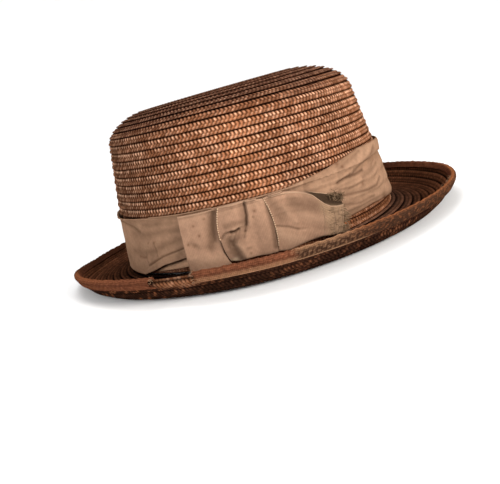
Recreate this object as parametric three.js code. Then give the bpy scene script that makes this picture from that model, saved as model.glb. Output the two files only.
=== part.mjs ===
// A sewn straw braid hat with a rolled brim, a pleated ribbon band and a flat bow of three loops.
// Millimetres, +Z up. +X is the wearer's front, -Y the side with the bow.
// The origin is on the surface that the brim rests on, under the middle of the brim's outline.
// The straw is sewn in rows that overlap like shingles, so each row's outer edge stands proud.
import * as THREE from "three";

// Walls and clearances
const STRAW = 2;
const RIBBON = 1.1;
const GAP = 0.3;

// Rows of braid: spacing along the straw, and how far an edge stands proud or is tucked in
const ROW_PITCH = 4.8;
const ROW_PROUD = 0.6;
const ROW_TUCK = 0.4;

// Crown: radii are the mean of the oval's two half axes
const CROWN_CENTRE_X = -3.5;
const CROWN_TOP = 101.9;
const TIP_TILT = 0.022;
const SHOULDER_HEIGHT = 82;
const SHOULDER_RADIUS = 77.2;
const SHOULDER_ACROSS = 34;
const SHOULDER_SKEW = 5;
const SIDE_SLOPE = 0.124;
const WAIST_HEIGHT = 41;
const WAIST_RADIUS = 81.1;
const BASE_HEIGHT = 6.8;
const BASE_RADIUS = 83.6;
const BASE_TILT = 0.02;
const OVAL_AT_BASE = 5.8;
const OVAL_AT_SHOULDER = 2.8;
const CROWN_LEAN = -0.016;
const TIP_DIP = { x: -32, y: 0, depth: 1.2, spread: 17 };

// Brim: half axes of the ring that rests, and of the rolled edge
const BRIM_CENTRE_X = -1.7;
const REST_LENGTH = 118;
const REST_WIDTH = 99;
const REST_SQUARENESS = 1.88;
const EDGE_FRONT = 131;
const EDGE_BACK = 127.6;
const EDGE_WIDTH = 115.7;
const EDGE_SQUARENESS = 1.8;
const ROLL_ROUNDNESS = 0.55;
const ROLL_RISE = { height: 2.4, angle: -20 };
const ROWS_INSIDE_REST = 3.5;
const ROWS_ON_ROLL = 3.5;

// Ribbon folded over the brim's edge, with no rows on the straw beneath it
const BINDING_ABOVE = 3.4;
const BINDING_BELOW = 4.4;
const BINDING_WALL = 1;
const BARE_EDGE = 4.8;

// Height of the rolled edge round the hat, as a mean and waves of the angle from the front
const EDGE_LOWEST = 6.6;
const EDGE_MEAN = 11.9;
const EDGE_WAVES = [
  { turns: 1, cosine: 2.8, sine: -3.8 },
  { turns: 2, cosine: -0.7, sine: 2.6 },
  { turns: 3, cosine: -0.7, sine: 0 },
];

// The binding is torn away between these angles
const TORN = { from: -126, to: -114 };

// Ribbon band: heights of its two edges, by angle from the front, the bow side negative
const BAND_EDGES = [
  { angle: -180, top: 41.4, bottom: 7.2 },
  { angle: -155, top: 41.5, bottom: 7.4 },
  { angle: -140, top: 41.5, bottom: 9.4 },
  { angle: -130, top: 41.2, bottom: 12.8 },
  { angle: -121, top: 41, bottom: 15.6 },
  { angle: -105, top: 41.4, bottom: 17 },
  { angle: -80, top: 42, bottom: 15 },
  { angle: -63, top: 45.3, bottom: 13.9 },
  { angle: -44, top: 49.6, bottom: 15 },
  { angle: -27, top: 49, bottom: 13 },
  { angle: -10, top: 47.8, bottom: 10.6 },
  { angle: 10, top: 46.6, bottom: 9.6 },
  { angle: 50, top: 44.4, bottom: 8.8 },
  { angle: 100, top: 42.6, bottom: 8 },
  { angle: 140, top: 42, bottom: 7.4 },
  { angle: 180, top: 41.4, bottom: 7.2 },
];

// Folds of the band over the wearer's right front: each ridge fans from the bow to the front
const BAND_FOLDS = [
  { fromShare: 0.3, toShare: 0.04, height: 2 },
  { fromShare: 0.55, toShare: 0.34, height: 1.8 },
  { fromShare: 0.8, toShare: 0.62, height: 1.7 },
  { fromShare: 0.98, toShare: 0.92, height: 1.9 },
];
const FOLDS_FROM = -70;
const FOLDS_TO = 3;
const FOLD_HALF_WIDTH = 0.11;
const BAND_RIM = 0.5;

// The band's lower edge lifts off a second layer behind the bow
const LIFT = { angle: -130, spread: 14, height: 2 };
const UNDER_FOLD = { from: -162, to: -108, bottomAtFrom: 6, bottomAtTo: 10.8 };

// Bow loops: the outline of each, seen from the bow's side. x is measured from the crown's middle.
// Across: a share of the loop's width, its top and bottom, stand-off from the band and thickness.
const LEFT_TAB = {
  left: { bottom: -48.3, middle: -47.9, top: -46.9 },
  right: { bottom: -25.1, middle: -27.6, top: -24.1 },
  across: [
    { share: 0, top: 40.7, bottom: 9.4, off: 0.8, thick: 4.4 },
    { share: 0.25, top: 40.7, bottom: 7.9, off: 0.4, thick: 4.6 },
    { share: 0.6, top: 40.7, bottom: 8.1, off: 0, thick: 4.6 },
    { share: 0.82, top: 40.8, bottom: 8.5, off: 0, thick: 3.4 },
    { share: 1, top: 40.9, bottom: 8.9, off: 0, thick: 3 },
  ],
};
const MIDDLE_TAB = {
  left: { bottom: -24.5, middle: -27, top: -23.5 },
  right: { bottom: 1.3, middle: 3, top: 0.7 },
  across: [
    { share: 0, top: 41.3, bottom: 10.6, off: 0, thick: 5.6 },
    { share: 0.22, top: 42, bottom: 9.9, off: 0, thick: 6.2 },
    { share: 0.48, top: 42.1, bottom: 9.7, off: 0, thick: 5.6 },
    { share: 0.6, top: 42.1, bottom: 9.3, off: 0, thick: 3.2 },
    { share: 0.74, top: 41.6, bottom: 8.8, off: 0, thick: 5.4 },
    { share: 1, top: 40.2, bottom: 8.6, off: 0, thick: 4.6 },
  ],
};
const RIGHT_TAB = {
  left: { bottom: 2, middle: 3.7, top: 1.4 },
  right: { bottom: 38.4, middle: 41.6, top: 43.4 },
  frontCorner: { top: 28.5, cutFrom: 0.4 },
  across: [
    { share: 0, top: 40.4, bottom: 10, off: 0, thick: 6.4 },
    { share: 0.14, top: 41.7, bottom: 8.5, off: 0, thick: 5.4 },
    { share: 0.32, top: 40.6, bottom: 9.6, off: 0, thick: 5 },
    { share: 0.52, top: 38, bottom: 10.6, off: 0.2, thick: 5.4 },
    { share: 0.76, top: 34.4, bottom: 10, off: 0.4, thick: 6.4 },
    { share: 1, top: 29.4, bottom: 8.7, off: 0.6, thick: 7.4 },
  ],
};
const TAB_GAP = 0.5;
const TAB_STEPS = 14;
const TAB_SQUARENESS = 3.4;

const SEGMENTS = 40;
const RAD = Math.PI / 180;

const STRAW_FINISH = { color: 0xa8704a, roughness: 0.5, metalness: 0 };
const BRIM_FINISH = { color: 0x5e3d2a, roughness: 0.6, metalness: 0 };
const BAND_FINISH = { color: 0xb8977a, roughness: 0.75, metalness: 0 };
const BOW_FINISH = { color: 0xab8768, roughness: 0.75, metalness: 0 };
const BINDING_FINISH = { color: 0x8a5433, roughness: 0.7, metalness: 0 };

// Angles round the hat in degrees. The nearest of the even steps is moved onto each of the given ones.
function roundAngles(...exact) {
  const step = 360 / SEGMENTS;
  const angles = Array.from({ length: SEGMENTS }, (_, i) => i * step - 180);
  for (const wanted of exact) {
    angles[Math.round((wanted + 180) / step)] = wanted;
  }
  return angles;
}

// A value read from rows that hold a key column and a value column
function lookUp(rows, key, column, at) {
  const last = rows.length - 1;
  let i = 0;
  while (i < last - 1 && rows[i + 1][key] < at) i += 1;
  const share = THREE.MathUtils.clamp((at - rows[i][key]) / (rows[i + 1][key] - rows[i][key]), 0, 1);
  return THREE.MathUtils.lerp(rows[i][column], rows[i + 1][column], share);
}

function power(value, exponent) {
  return Math.sign(value) * Math.abs(value) ** exponent;
}

function bell(distance, spread) {
  return Math.exp(-0.5 * (distance / spread) ** 2);
}

// A closed solid from columns of points. Each column has an outer and an inner line of the same length.
// The columns join up in a ring, or the first and last are closed with end faces.
function wall(columns, isRing) {
  const corners = [];
  const addTriangle = (a, b, c) => {
    if (a.distanceTo(b) > 1e-4 && b.distanceTo(c) > 1e-4 && c.distanceTo(a) > 1e-4) corners.push(a, b, c);
  };
  const addQuad = (a, b, c, d) => {
    addTriangle(a, b, c);
    addTriangle(a, c, d);
  };
  const loops = columns.map(({ outer, inner }) => [...outer, ...inner.slice().reverse()]);
  const steps = isRing ? columns.length : columns.length - 1;
  for (let i = 0; i < steps; i += 1) {
    const here = loops[i];
    const next = loops[(i + 1) % loops.length];
    here.forEach((point, j) => {
      const k = (j + 1) % here.length;
      addQuad(point, here[k], next[k], next[j]);
    });
  }
  if (!isRing) {
    const first = columns[0];
    const last = columns[columns.length - 1];
    for (let j = 0; j + 1 < first.outer.length; j += 1) {
      addQuad(first.outer[j], first.inner[j], first.inner[j + 1], first.outer[j + 1]);
      addQuad(last.outer[j], last.outer[j + 1], last.inner[j + 1], last.inner[j]);
    }
  }
  const geometry = new THREE.BufferGeometry().setFromPoints(facingOut(corners));
  geometry.computeVertexNormals();
  return geometry;
}

// The corners of a closed surface, turned round if its faces point inwards
function facingOut(corners) {
  const cross = new THREE.Vector3();
  let volume = 0;
  for (let i = 0; i < corners.length; i += 3) {
    volume += corners[i].dot(cross.crossVectors(corners[i + 1], corners[i + 2]));
  }
  return volume < 0 ? corners.slice().reverse() : corners;
}

function namedMesh(name, geometry, finish) {
  const mesh = new THREE.Mesh(geometry, new THREE.MeshStandardMaterial(finish));
  mesh.name = name;
  return mesh;
}

// How far the oval's half axes depart from their mean at a height
function ovalAt(height) {
  const share = (height - BASE_HEIGHT) / (SHOULDER_HEIGHT - BASE_HEIGHT);
  return THREE.MathUtils.lerp(OVAL_AT_BASE, OVAL_AT_SHOULDER, Math.min(share, 1));
}

// Mean radius of the crown's side, which the band draws in to a waist
function sideRadius(height) {
  if (height > WAIST_HEIGHT) return SHOULDER_RADIUS + SIDE_SLOPE * (SHOULDER_HEIGHT - height);
  const share = (height - BASE_HEIGHT) / (WAIST_HEIGHT - BASE_HEIGHT);
  return THREE.MathUtils.lerp(BASE_RADIUS, WAIST_RADIUS, share);
}

// How far a ribbon round the crown has to stand off its side to clear the proud rows
function clearOfRows(height) {
  return GAP + ROW_PROUD * THREE.MathUtils.smoothstep(height, WAIST_HEIGHT - 2, WAIST_HEIGHT);
}

// A point of the crown, whose middle is at x 0. The front of the shoulder is broader than the back.
function crownPoint(angle, radius, height) {
  const cosine = Math.cos(angle * RAD);
  const sine = Math.sin(angle * RAD);
  const across = SHOULDER_ACROSS + SHOULDER_SKEW * cosine;
  const tip = SHOULDER_RADIUS - SHOULDER_ACROSS;
  let r = radius;
  if (radius < tip) r = (radius * (SHOULDER_RADIUS - across)) / tip;
  else if (radius < SHOULDER_RADIUS) r = SHOULDER_RADIUS - ((SHOULDER_RADIUS - radius) * across) / SHOULDER_ACROSS;
  const oval = ovalAt(height) * Math.min(1, r / 12);
  const x = (r + oval) * cosine + CROWN_LEAN * height;
  const y = (r - oval) * sine;
  const isTip = THREE.MathUtils.smoothstep(height, SHOULDER_HEIGHT, CROWN_TOP - STRAW);
  const dip = TIP_DIP.depth * bell(Math.hypot(x - TIP_DIP.x, y - TIP_DIP.y), TIP_DIP.spread);
  return new THREE.Vector3(x, y, height + (TIP_TILT * x - dip) * isTip);
}

// The crown's outline from the middle of the tip to its base, as radius and height
function crownOutline(inset) {
  const down = CROWN_TOP - SHOULDER_HEIGHT;
  const tip = SHOULDER_RADIUS - SHOULDER_ACROSS;
  const end = Math.atan((SIDE_SLOPE * down) / SHOULDER_ACROSS);
  const outline = new THREE.Path();
  outline.moveTo(0, CROWN_TOP - inset);
  outline.lineTo(tip, CROWN_TOP - inset);
  outline.absellipse(tip, SHOULDER_HEIGHT, SHOULDER_ACROSS - inset, down - inset, Math.PI / 2, end, true);
  outline.lineTo(sideRadius(WAIST_HEIGHT + 1) - inset, WAIST_HEIGHT + 1);
  outline.lineTo(WAIST_RADIUS - inset, WAIST_HEIGHT - 1);
  outline.lineTo(BASE_RADIUS - inset, BASE_HEIGHT);
  return outline;
}

// Radius and height at a length along an outline, moved off it sideways
function offOutline(outline, length, off) {
  const share = THREE.MathUtils.clamp(length / outline.getLength(), 0, 1);
  const at = outline.getPointAt(share);
  const along = outline.getTangentAt(share);
  return new THREE.Vector2(Math.max(at.x - along.y * off, 0), at.y + along.x * off);
}

function crownProfile() {
  const outside = crownOutline(0);
  const length = outside.getLength();
  const rows = Math.floor(length / ROW_PITCH);
  const firstEdge = length - rows * ROW_PITCH;
  const points = [offOutline(outside, 0, 0)];
  let edge = firstEdge;
  while (outside.getPointAt(edge / length).y > WAIST_HEIGHT + 1) {
    points.push(offOutline(outside, edge, ROW_PROUD), offOutline(outside, edge, -ROW_TUCK));
    edge += ROW_PITCH;
  }
  points.push(new THREE.Vector2(WAIST_RADIUS, WAIST_HEIGHT - 1), new THREE.Vector2(BASE_RADIUS, BASE_HEIGHT));
  return points;
}

// The inner line has as many points as the outer one, so that the wall's two lines match
function crownInside(count) {
  const inside = crownOutline(STRAW);
  const length = inside.getLength();
  const bends = [0, 0.2, 0.27, 0.33, 0.39, 0.45, 0.51, 0.57, 0.79, 1];
  const points = bends.map((share) => offOutline(inside, share * length, 0));
  while (points.length < count) points.unshift(points[0].clone());
  return points;
}

function baseHeight(angle) {
  return BASE_HEIGHT + BASE_TILT * BASE_RADIUS * Math.cos(angle * RAD);
}

function makeCrown() {
  const outerProfile = crownProfile();
  const innerProfile = crownInside(outerProfile.length);
  const place = (profile, angle, atBase) =>
    profile.map(({ x: radius, y: height }, i) => {
      const isBase = i === profile.length - 1;
      return crownPoint(angle, radius, isBase ? atBase : height);
    });
  const columns = roundAngles().map((angle) => ({
    outer: place(outerProfile, angle, baseHeight(angle) - rootSlope(angle) * STRAW + GAP),
    inner: place(innerProfile, angle, baseHeight(angle) + GAP),
  }));
  return namedMesh("crown", wall(columns, true), STRAW_FINISH);
}

// Height of the rolled edge's crest at an angle in degrees
function edgeHeight(angle) {
  const height = EDGE_WAVES.reduce(
    (sum, { turns, cosine, sine }) =>
      sum + cosine * Math.cos(turns * angle * RAD) + sine * Math.sin(turns * angle * RAD),
    EDGE_MEAN,
  );
  return Math.max(height, EDGE_LOWEST);
}

// How far the roll's bend is off the floor. At the bow side of the front the brim turns up sooner.
function rollRise(angle) {
  return ROLL_RISE.height * THREE.MathUtils.smoothstep(Math.cos((angle - ROLL_RISE.angle) * RAD), 0, 0.6);
}

// A point of one of the brim's rings, which are ovals with drawn-in corners
function brimRing(angle, halfLength, halfWidth, squareness, height) {
  const x = halfLength * power(Math.cos(angle * RAD), 2 / squareness);
  const y = halfWidth * power(Math.sin(angle * RAD), 2 / squareness);
  return new THREE.Vector3(BRIM_CENTRE_X + x, y, height);
}

// The middle of the brim's straw at one angle: a fall from the crown, then a roll up to the edge
function brimLines(angle) {
  const cosine = Math.cos(angle * RAD);
  const sine = Math.sin(angle * RAD);
  const half = STRAW / 2;
  const oval = ovalAt(BASE_HEIGHT);
  const inner = BASE_RADIUS - STRAW;
  const rootX = CROWN_CENTRE_X + (inner + oval) * cosine;
  const root = new THREE.Vector3(rootX, (inner - oval) * sine, baseHeight(angle) - half);
  const edgeLength = cosine > 0 ? EDGE_FRONT : EDGE_BACK;
  const rest = brimRing(angle, REST_LENGTH, REST_WIDTH, REST_SQUARENESS, half);
  const edge = brimRing(angle, edgeLength, EDGE_WIDTH, EDGE_SQUARENESS, edgeHeight(angle));
  const bendIn = root.clone().lerp(rest, 0.5).setZ(half);
  const bendOut = rest.clone().lerp(edge, ROLL_ROUNDNESS).setZ(half + rollRise(angle));
  return {
    fall: new THREE.QuadraticBezierCurve3(root, bendIn, rest),
    roll: new THREE.QuadraticBezierCurve3(rest, bendOut, edge),
    round: new THREE.Vector3(-REST_LENGTH * sine, REST_WIDTH * cosine, 0).normalize(),
  };
}

// How steeply the brim leaves the crown
function rootSlope(angle) {
  const along = brimLines(angle).fall.getTangentAt(0);
  return -along.z / Math.hypot(along.x, along.y);
}

// A point at a share of a line, moved off it along the straw's upward normal and along the line
function offLine(line, share, round, off, beyond = 0) {
  const along = line.getTangentAt(share);
  const up = along.clone().cross(round).normalize();
  return line.getPointAt(share).addScaledVector(up, off).addScaledVector(along, beyond);
}

// Both faces of the brim at one angle. Rows overlap outwards on top, inwards underneath.
function brimColumn(angle) {
  const { fall, roll, round } = brimLines(angle);
  const half = STRAW / 2;
  const top = [];
  const under = [];
  const addEdge = (line, share, isResting, offTop, offUnder) => {
    top.push(offLine(line, share, round, half + offTop));
    const below = offLine(line, share, round, -half + offUnder);
    under.push(below.setZ(isResting ? 0 : Math.max(below.z, 0)));
  };
  const boundShare = 1 - BARE_EDGE / roll.getLength();
  addEdge(fall, 0, false, -ROW_TUCK, 0);
  for (let row = 1; row <= ROWS_INSIDE_REST; row += 1) {
    const share = row / ROWS_INSIDE_REST;
    const isResting = row > ROWS_INSIDE_REST - 1;
    addEdge(fall, share, false, ROW_PROUD, ROW_TUCK);
    addEdge(fall, share, isResting, -ROW_TUCK, -ROW_PROUD);
  }
  for (let row = 0.5; row <= ROWS_ON_ROLL; row += 1) {
    const share = (row / ROWS_ON_ROLL) * boundShare;
    const isResting = row < 1;
    addEdge(roll, share, isResting, row === ROWS_ON_ROLL ? 0 : ROW_PROUD, ROW_TUCK);
    addEdge(roll, share + 0.002, false, row === ROWS_ON_ROLL ? 0 : -ROW_TUCK, row === ROWS_ON_ROLL ? 0 : -ROW_PROUD);
  }
  addEdge(roll, (1 + boundShare) / 2, false, 0, 0);
  addEdge(roll, 1, false, 0, 0);
  return { outer: top, inner: under };
}

function makeBrim() {
  const columns = roundAngles(TORN.from, TORN.to).map(brimColumn);
  return namedMesh("brim", wall(columns, true), BRIM_FINISH);
}

// The binding's section at one angle: down the top of the brim, round its edge and back underneath
function bindingColumn(angle) {
  const { roll, round } = brimLines(angle);
  const face = (thickness) => {
    const off = STRAW / 2 + GAP + thickness;
    const leg = (width, side) => offLine(roll, 1 - width / roll.getLength(), round, side * off);
    const points = [leg(BINDING_ABOVE, 1), leg(BINDING_ABOVE / 2, 1)];
    for (const turn of [90, 45, 0, -45, -90]) {
      points.push(offLine(roll, 1, round, off * Math.sin(turn * RAD), off * Math.cos(turn * RAD)));
    }
    points.push(leg(BINDING_BELOW / 2, -1), leg(BINDING_BELOW, -1));
    return points;
  };
  return { outer: face(BINDING_WALL), inner: face(0) };
}

function makeBinding() {
  const angles = roundAngles(TORN.from, TORN.to);
  const afterTear = angles.indexOf(TORN.to);
  const ordered = [...angles.slice(afterTear), ...angles.slice(0, afterTear)];
  return namedMesh("edge_binding", wall(ordered.map(bindingColumn), false), BINDING_FINISH);
}

// How far the band's folds stand out at an angle and at a share of its depth from the top edge
function foldHeight(angle, share) {
  const along = THREE.MathUtils.clamp((angle - FOLDS_FROM) / (FOLDS_TO - FOLDS_FROM), 0, 1);
  const fade = THREE.MathUtils.smoothstep(along, 0, 0.25) * (1 - THREE.MathUtils.smoothstep(along, 0.8, 1));
  const ridges = BAND_FOLDS.map(({ fromShare, toShare, height }) => {
    const middle = THREE.MathUtils.lerp(fromShare, toShare, along);
    return height * bell(share - middle, FOLD_HALF_WIDTH);
  });
  return fade * Math.max(...ridges);
}

// The lower edge's lift off the layer beneath
function liftHeight(angle, share) {
  return LIFT.height * bell(angle - LIFT.angle, LIFT.spread) * share ** 2;
}

// How far the band's outer face is off the line that clears the crown's rows
function bandFace(angle, share) {
  const rim = share === 0 ? 0 : BAND_RIM;
  return RIBBON + rim + liftHeight(angle, share) + foldHeight(angle, share);
}

function makeBand() {
  const shares = [0, 0.08, 0.2, 0.34, 0.48, 0.62, 0.76, 0.9, 1];
  const columns = roundAngles().map((angle) => {
    const top = lookUp(BAND_EDGES, "angle", "top", angle);
    const bottom = lookUp(BAND_EDGES, "angle", "bottom", angle);
    const line = (offAt) =>
      shares.map((share) => {
        const height = THREE.MathUtils.lerp(top, bottom, share);
        return crownPoint(angle, sideRadius(height) + clearOfRows(height) + offAt(share), height);
      });
    return {
      outer: line((share) => bandFace(angle, share)),
      inner: line((share) => liftHeight(angle, share)),
    };
  });
  return namedMesh("hat_band", wall(columns, true), BAND_FINISH);
}

// The second layer of the band that shows where the first lifts
function makeUnderFold() {
  const angles = roundAngles().filter((angle) => angle >= UNDER_FOLD.from && angle <= UNDER_FOLD.to);
  const columns = angles.map((angle) => {
    const along = (angle - UNDER_FOLD.from) / (UNDER_FOLD.to - UNDER_FOLD.from);
    const bottom = THREE.MathUtils.lerp(UNDER_FOLD.bottomAtFrom, UNDER_FOLD.bottomAtTo, along);
    const bandBottom = lookUp(BAND_EDGES, "angle", "bottom", angle);
    const line = (off) =>
      [bandBottom - GAP, bottom].map((height) => crownPoint(angle, sideRadius(height) + GAP + off, height));
    return { outer: line(RIBBON), inner: line(0) };
  });
  return namedMesh("band_under_fold", wall(columns, false), BAND_FINISH);
}

// A point over the band on the bow's side, given across and up, at a distance off the band
function bowSidePoint(x, height, offBand) {
  const oval = ovalAt(height);
  const angle = -Math.acos(x / (sideRadius(height) + oval)) / RAD;
  const top = lookUp(BAND_EDGES, "angle", "top", angle);
  const bottom = lookUp(BAND_EDGES, "angle", "bottom", angle);
  const share = THREE.MathUtils.clamp((top - height) / (top - bottom), 0.01, 1);
  const mean = sideRadius(height) + clearOfRows(height) + bandFace(angle, share) + offBand;
  const y = -(mean - oval) * Math.sqrt(1 - (x / (mean + oval)) ** 2);
  return new THREE.Vector3(x + CROWN_LEAN * height, y, height);
}

// A point of the smooth curve through the three that a loop's side gives for its bottom, middle and top
function sideAt({ bottom, middle, top }, rise) {
  return middle + ((top - bottom) / 2) * rise + ((top + bottom) / 2 - middle) * rise ** 2;
}

// A ribbon loop that lies flat: up the front, over the top and down the back
function makeTab(name, tab) {
  const shares = tab.across.map(({ share }) => share);
  const columns = [];
  for (let step = 0; step < TAB_STEPS; step += 1) {
    const turn = ((step + 0.5) / TAB_STEPS) * 360;
    const forward = power(Math.cos(turn * RAD), 2 / TAB_SQUARENESS);
    const rise = power(Math.sin(turn * RAD), 2 / TAB_SQUARENESS);
    const right = { ...tab.right };
    if (tab.frontCorner && forward > 0 && rise > tab.frontCorner.cutFrom) {
      const cut = (rise - tab.frontCorner.cutFrom) / (1 - tab.frontCorner.cutFrom);
      right.top = THREE.MathUtils.lerp(right.top, tab.frontCorner.top, cut);
      right.middle = THREE.MathUtils.lerp(right.middle, tab.frontCorner.top, cut);
    }
    const line = (inset) =>
      shares.map((share) => {
        const read = (column) => lookUp(tab.across, "share", column, share);
        const x = THREE.MathUtils.lerp(sideAt(tab.left, rise), sideAt(right, rise), share);
        const halfThick = read("thick") / 2;
        const halfTall = (read("top") - read("bottom")) / 2;
        const off = TAB_GAP + read("off") + halfThick + forward * (halfThick - inset);
        const height = read("bottom") + halfTall + rise * (halfTall - inset);
        return bowSidePoint(x, height, off);
      });
    columns.push({ outer: line(0), inner: line(RIBBON) });
  }
  return namedMesh(name, wall(columns, true), BOW_FINISH);
}

const headPiece = new THREE.Group();
headPiece.position.x = CROWN_CENTRE_X;
headPiece.add(
  makeCrown(),
  makeBand(),
  makeUnderFold(),
  makeTab("bow_left_tab", LEFT_TAB),
  makeTab("bow_middle_tab", MIDDLE_TAB),
  makeTab("bow_right_tab", RIGHT_TAB),
);

const hat = new THREE.Group();
hat.add(headPiece, makeBrim(), makeBinding());

export default hat;
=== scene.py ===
import math

import bpy
import numpy as np
from mathutils import Matrix, Vector

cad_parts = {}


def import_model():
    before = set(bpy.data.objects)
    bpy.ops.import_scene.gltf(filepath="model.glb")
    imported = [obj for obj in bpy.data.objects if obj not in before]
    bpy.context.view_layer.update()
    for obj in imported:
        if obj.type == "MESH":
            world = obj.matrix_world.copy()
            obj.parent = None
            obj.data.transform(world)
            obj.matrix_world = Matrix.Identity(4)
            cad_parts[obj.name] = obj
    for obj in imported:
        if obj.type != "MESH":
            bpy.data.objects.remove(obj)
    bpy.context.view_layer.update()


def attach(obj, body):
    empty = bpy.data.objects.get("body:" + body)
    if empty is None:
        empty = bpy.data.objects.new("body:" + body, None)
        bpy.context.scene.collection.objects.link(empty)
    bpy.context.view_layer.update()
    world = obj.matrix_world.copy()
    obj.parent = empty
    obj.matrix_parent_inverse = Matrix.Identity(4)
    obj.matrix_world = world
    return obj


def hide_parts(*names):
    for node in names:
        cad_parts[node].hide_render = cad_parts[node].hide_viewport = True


MM = 0.001

# The form of the crown and brim, as in the solids
CROWN_CENTRE_X = -3.5
CROWN_TOP = 101.9
TIP_TILT = 0.022
SHOULDER_HEIGHT = 82.0
SHOULDER_RADIUS = 77.2
SHOULDER_ACROSS = 34.0
SHOULDER_SKEW = 5.0
SIDE_SLOPE = 0.124
WAIST_HEIGHT = 41.0
WAIST_RADIUS = 81.1
BASE_HEIGHT = 6.8
BASE_RADIUS = 83.6
BASE_TILT = 0.02
OVAL_AT_BASE = 5.8
OVAL_AT_SHOULDER = 2.8
ROUND_WITHIN = 12.0
TIP_HOLE = 0.1
CROWN_LEAN = -0.016
TIP_DIP = {"x": -32.0, "y": 0.0, "depth": 1.2, "spread": 17.0}
STRAW = 2.0
BRIM_CENTRE_X = -1.7
REST_LENGTH = 118.0
REST_WIDTH = 99.0
REST_SQUARENESS = 1.88
EDGE_FRONT = 131.0
EDGE_BACK = 127.6
EDGE_WIDTH = 115.7
EDGE_SQUARENESS = 1.8
ROLL_ROUNDNESS = 0.55
ROLL_RISE = 2.4
ROLL_RISE_TOWARDS = -20.0
EDGE_LOWEST = 6.6
EDGE_MEAN = 11.9
EDGE_WAVES = ((1, 2.8, -3.8), (2, -0.7, 2.6), (3, -0.7, 0.0))
BRIM_ANGLES = 721
BRIM_SHARES = 81
FLOOR_CLEAR = 0.02
BINDING_CLEAR = 0.05

# Straw braid, sewn in a spiral whose rows overlap, each outer edge over the next row
ROW_PITCH = 4.8
BRAID_WIDTH = 6.2
BRAID_HALF_THICK = 0.5
BRAID_RELIEF = 0.7
BRIM_ROWS = 9
ROOT_SHARE = 0.02
ROW_EDGE_HEIGHT = 45.6
CROWN_JOINS = (96.0, 81.0, 38.0)
ROWS_SEEN_AT_BASE = 2.4
STRAW_SINK = 0.55
BAND_SINK = 0.35

# Places across a braid run from -1 at its hidden edge to 1 at its outer edge
LEAN_FROM = -0.6
PLAIT_PITCH = 2.3
PLAIT_MIDDLE = 0.32
PLAIT_SLANT = 0.85
CALM_STRAND = 0.75
TONES = 4096
FINE = ((-1, -0.4, -0.18, 0.06, 0.32, 0.55, 0.79, 1), (0.6, -0.6))
TWO_SIDED = ((-1, -0.4, 0, 0.32, 0.67, 1), (0.7, 0.15, -0.35, -0.85))
PLAIN = ((-1, -0.3, 0.4, 1), (0.5, -0.5))

# Distances from a row's outer edge to its strands with painted highlights and to the notches of
# painted shade between them, and the heights at which the painted highlights start and fade and
# the straw gets dusty
HIGHLIGHTS_AT = 1.5
NOTCH_SHADE_AT = 2.0
LOW_HIGHLIGHTS_AT = 3.5
HIGHLIGHTS_START = (13, 15)
HIGHLIGHTS_FADE = (84, 93)
DUST_HEIGHTS = (83, 97)

# Ribbon band: angle, and heights of its two edges. Its steps are finer where it is creased and
# at its upper edge, and an arc is millimetres to a degree
BAND_EDGES = (
    (-180, 41.4, 7.2), (-155, 41.5, 6.9), (-147, 41.5, 6.8), (-140, 41.5, 9.6), (-133, 41.3, 13.2),
    (-121, 41.0, 16.6), (-105, 41.4, 17.4), (-80, 42.0, 15.0), (-63, 45.3, 13.9), (-44, 49.6, 15.0),
    (-27, 49.0, 13.0), (-10, 47.8, 10.6), (10, 46.6, 9.6), (50, 44.4, 8.8), (100, 42.6, 8.0),
    (140, 42.0, 7.4), (180, 41.4, 7.2),
)
BAND_ANGLES = ((-180, -20, 450), (-20, 180, 120))
BAND_SHARES = ((0, 0.08, 6), (0.08, 1, 53))
BAND_ROLL = {"angle": -163.0, "spread": 16.0, "height": 0.9, "share": 0.05}
BAND_LIFT = {"angle": -130.0, "spread": 14.0, "height": 2.0}
BAND_ARC = 1.45
WEAVE_ARC = 1.42
BAND_DEPTH = 34.0
BAND_RIM = 0.5
BAND_RIPPLE = 0.16
CLOTH = 0.6
THIN_CLOTH = 0.3
RIBBON = 1.1
GAP = 0.3
ROW_PROUD = 0.6

# Ridges of the band's folds: angle, share of its depth from the top edge, and height
BAND_RIDGES = (
    (
        (-76, 0.18, 0), (-68, 0.23, 1.2), (-60, 0.28, 1.9), (-50, 0.28, 2.0),
        (-43, 0.23, 1.8), (-30, 0.13, 1.1), (4, 0.05, 0),
    ),
    ((-74, 0.42, 0), (-64, 0.46, 1.3), (-54, 0.51, 1.7), (-42, 0.54, 1.5), (-28, 0.48, 1.1), (6, 0.38, 0)),
    ((-72, 0.62, 0), (-60, 0.68, 1.2), (-49, 0.73, 1.6), (-38, 0.75, 1.6), (-28, 0.71, 1.3), (8, 0.64, 0)),
    ((-72, 0.8, 0), (-61, 0.85, 1.2), (-51, 0.88, 1.5), (-40, 0.9, 1.5), (-28, 0.91, 1.3), (8, 0.93, 0)),
)
RIDGE_ABOVE = 0.13
RIDGE_BELOW = 0.05
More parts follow.
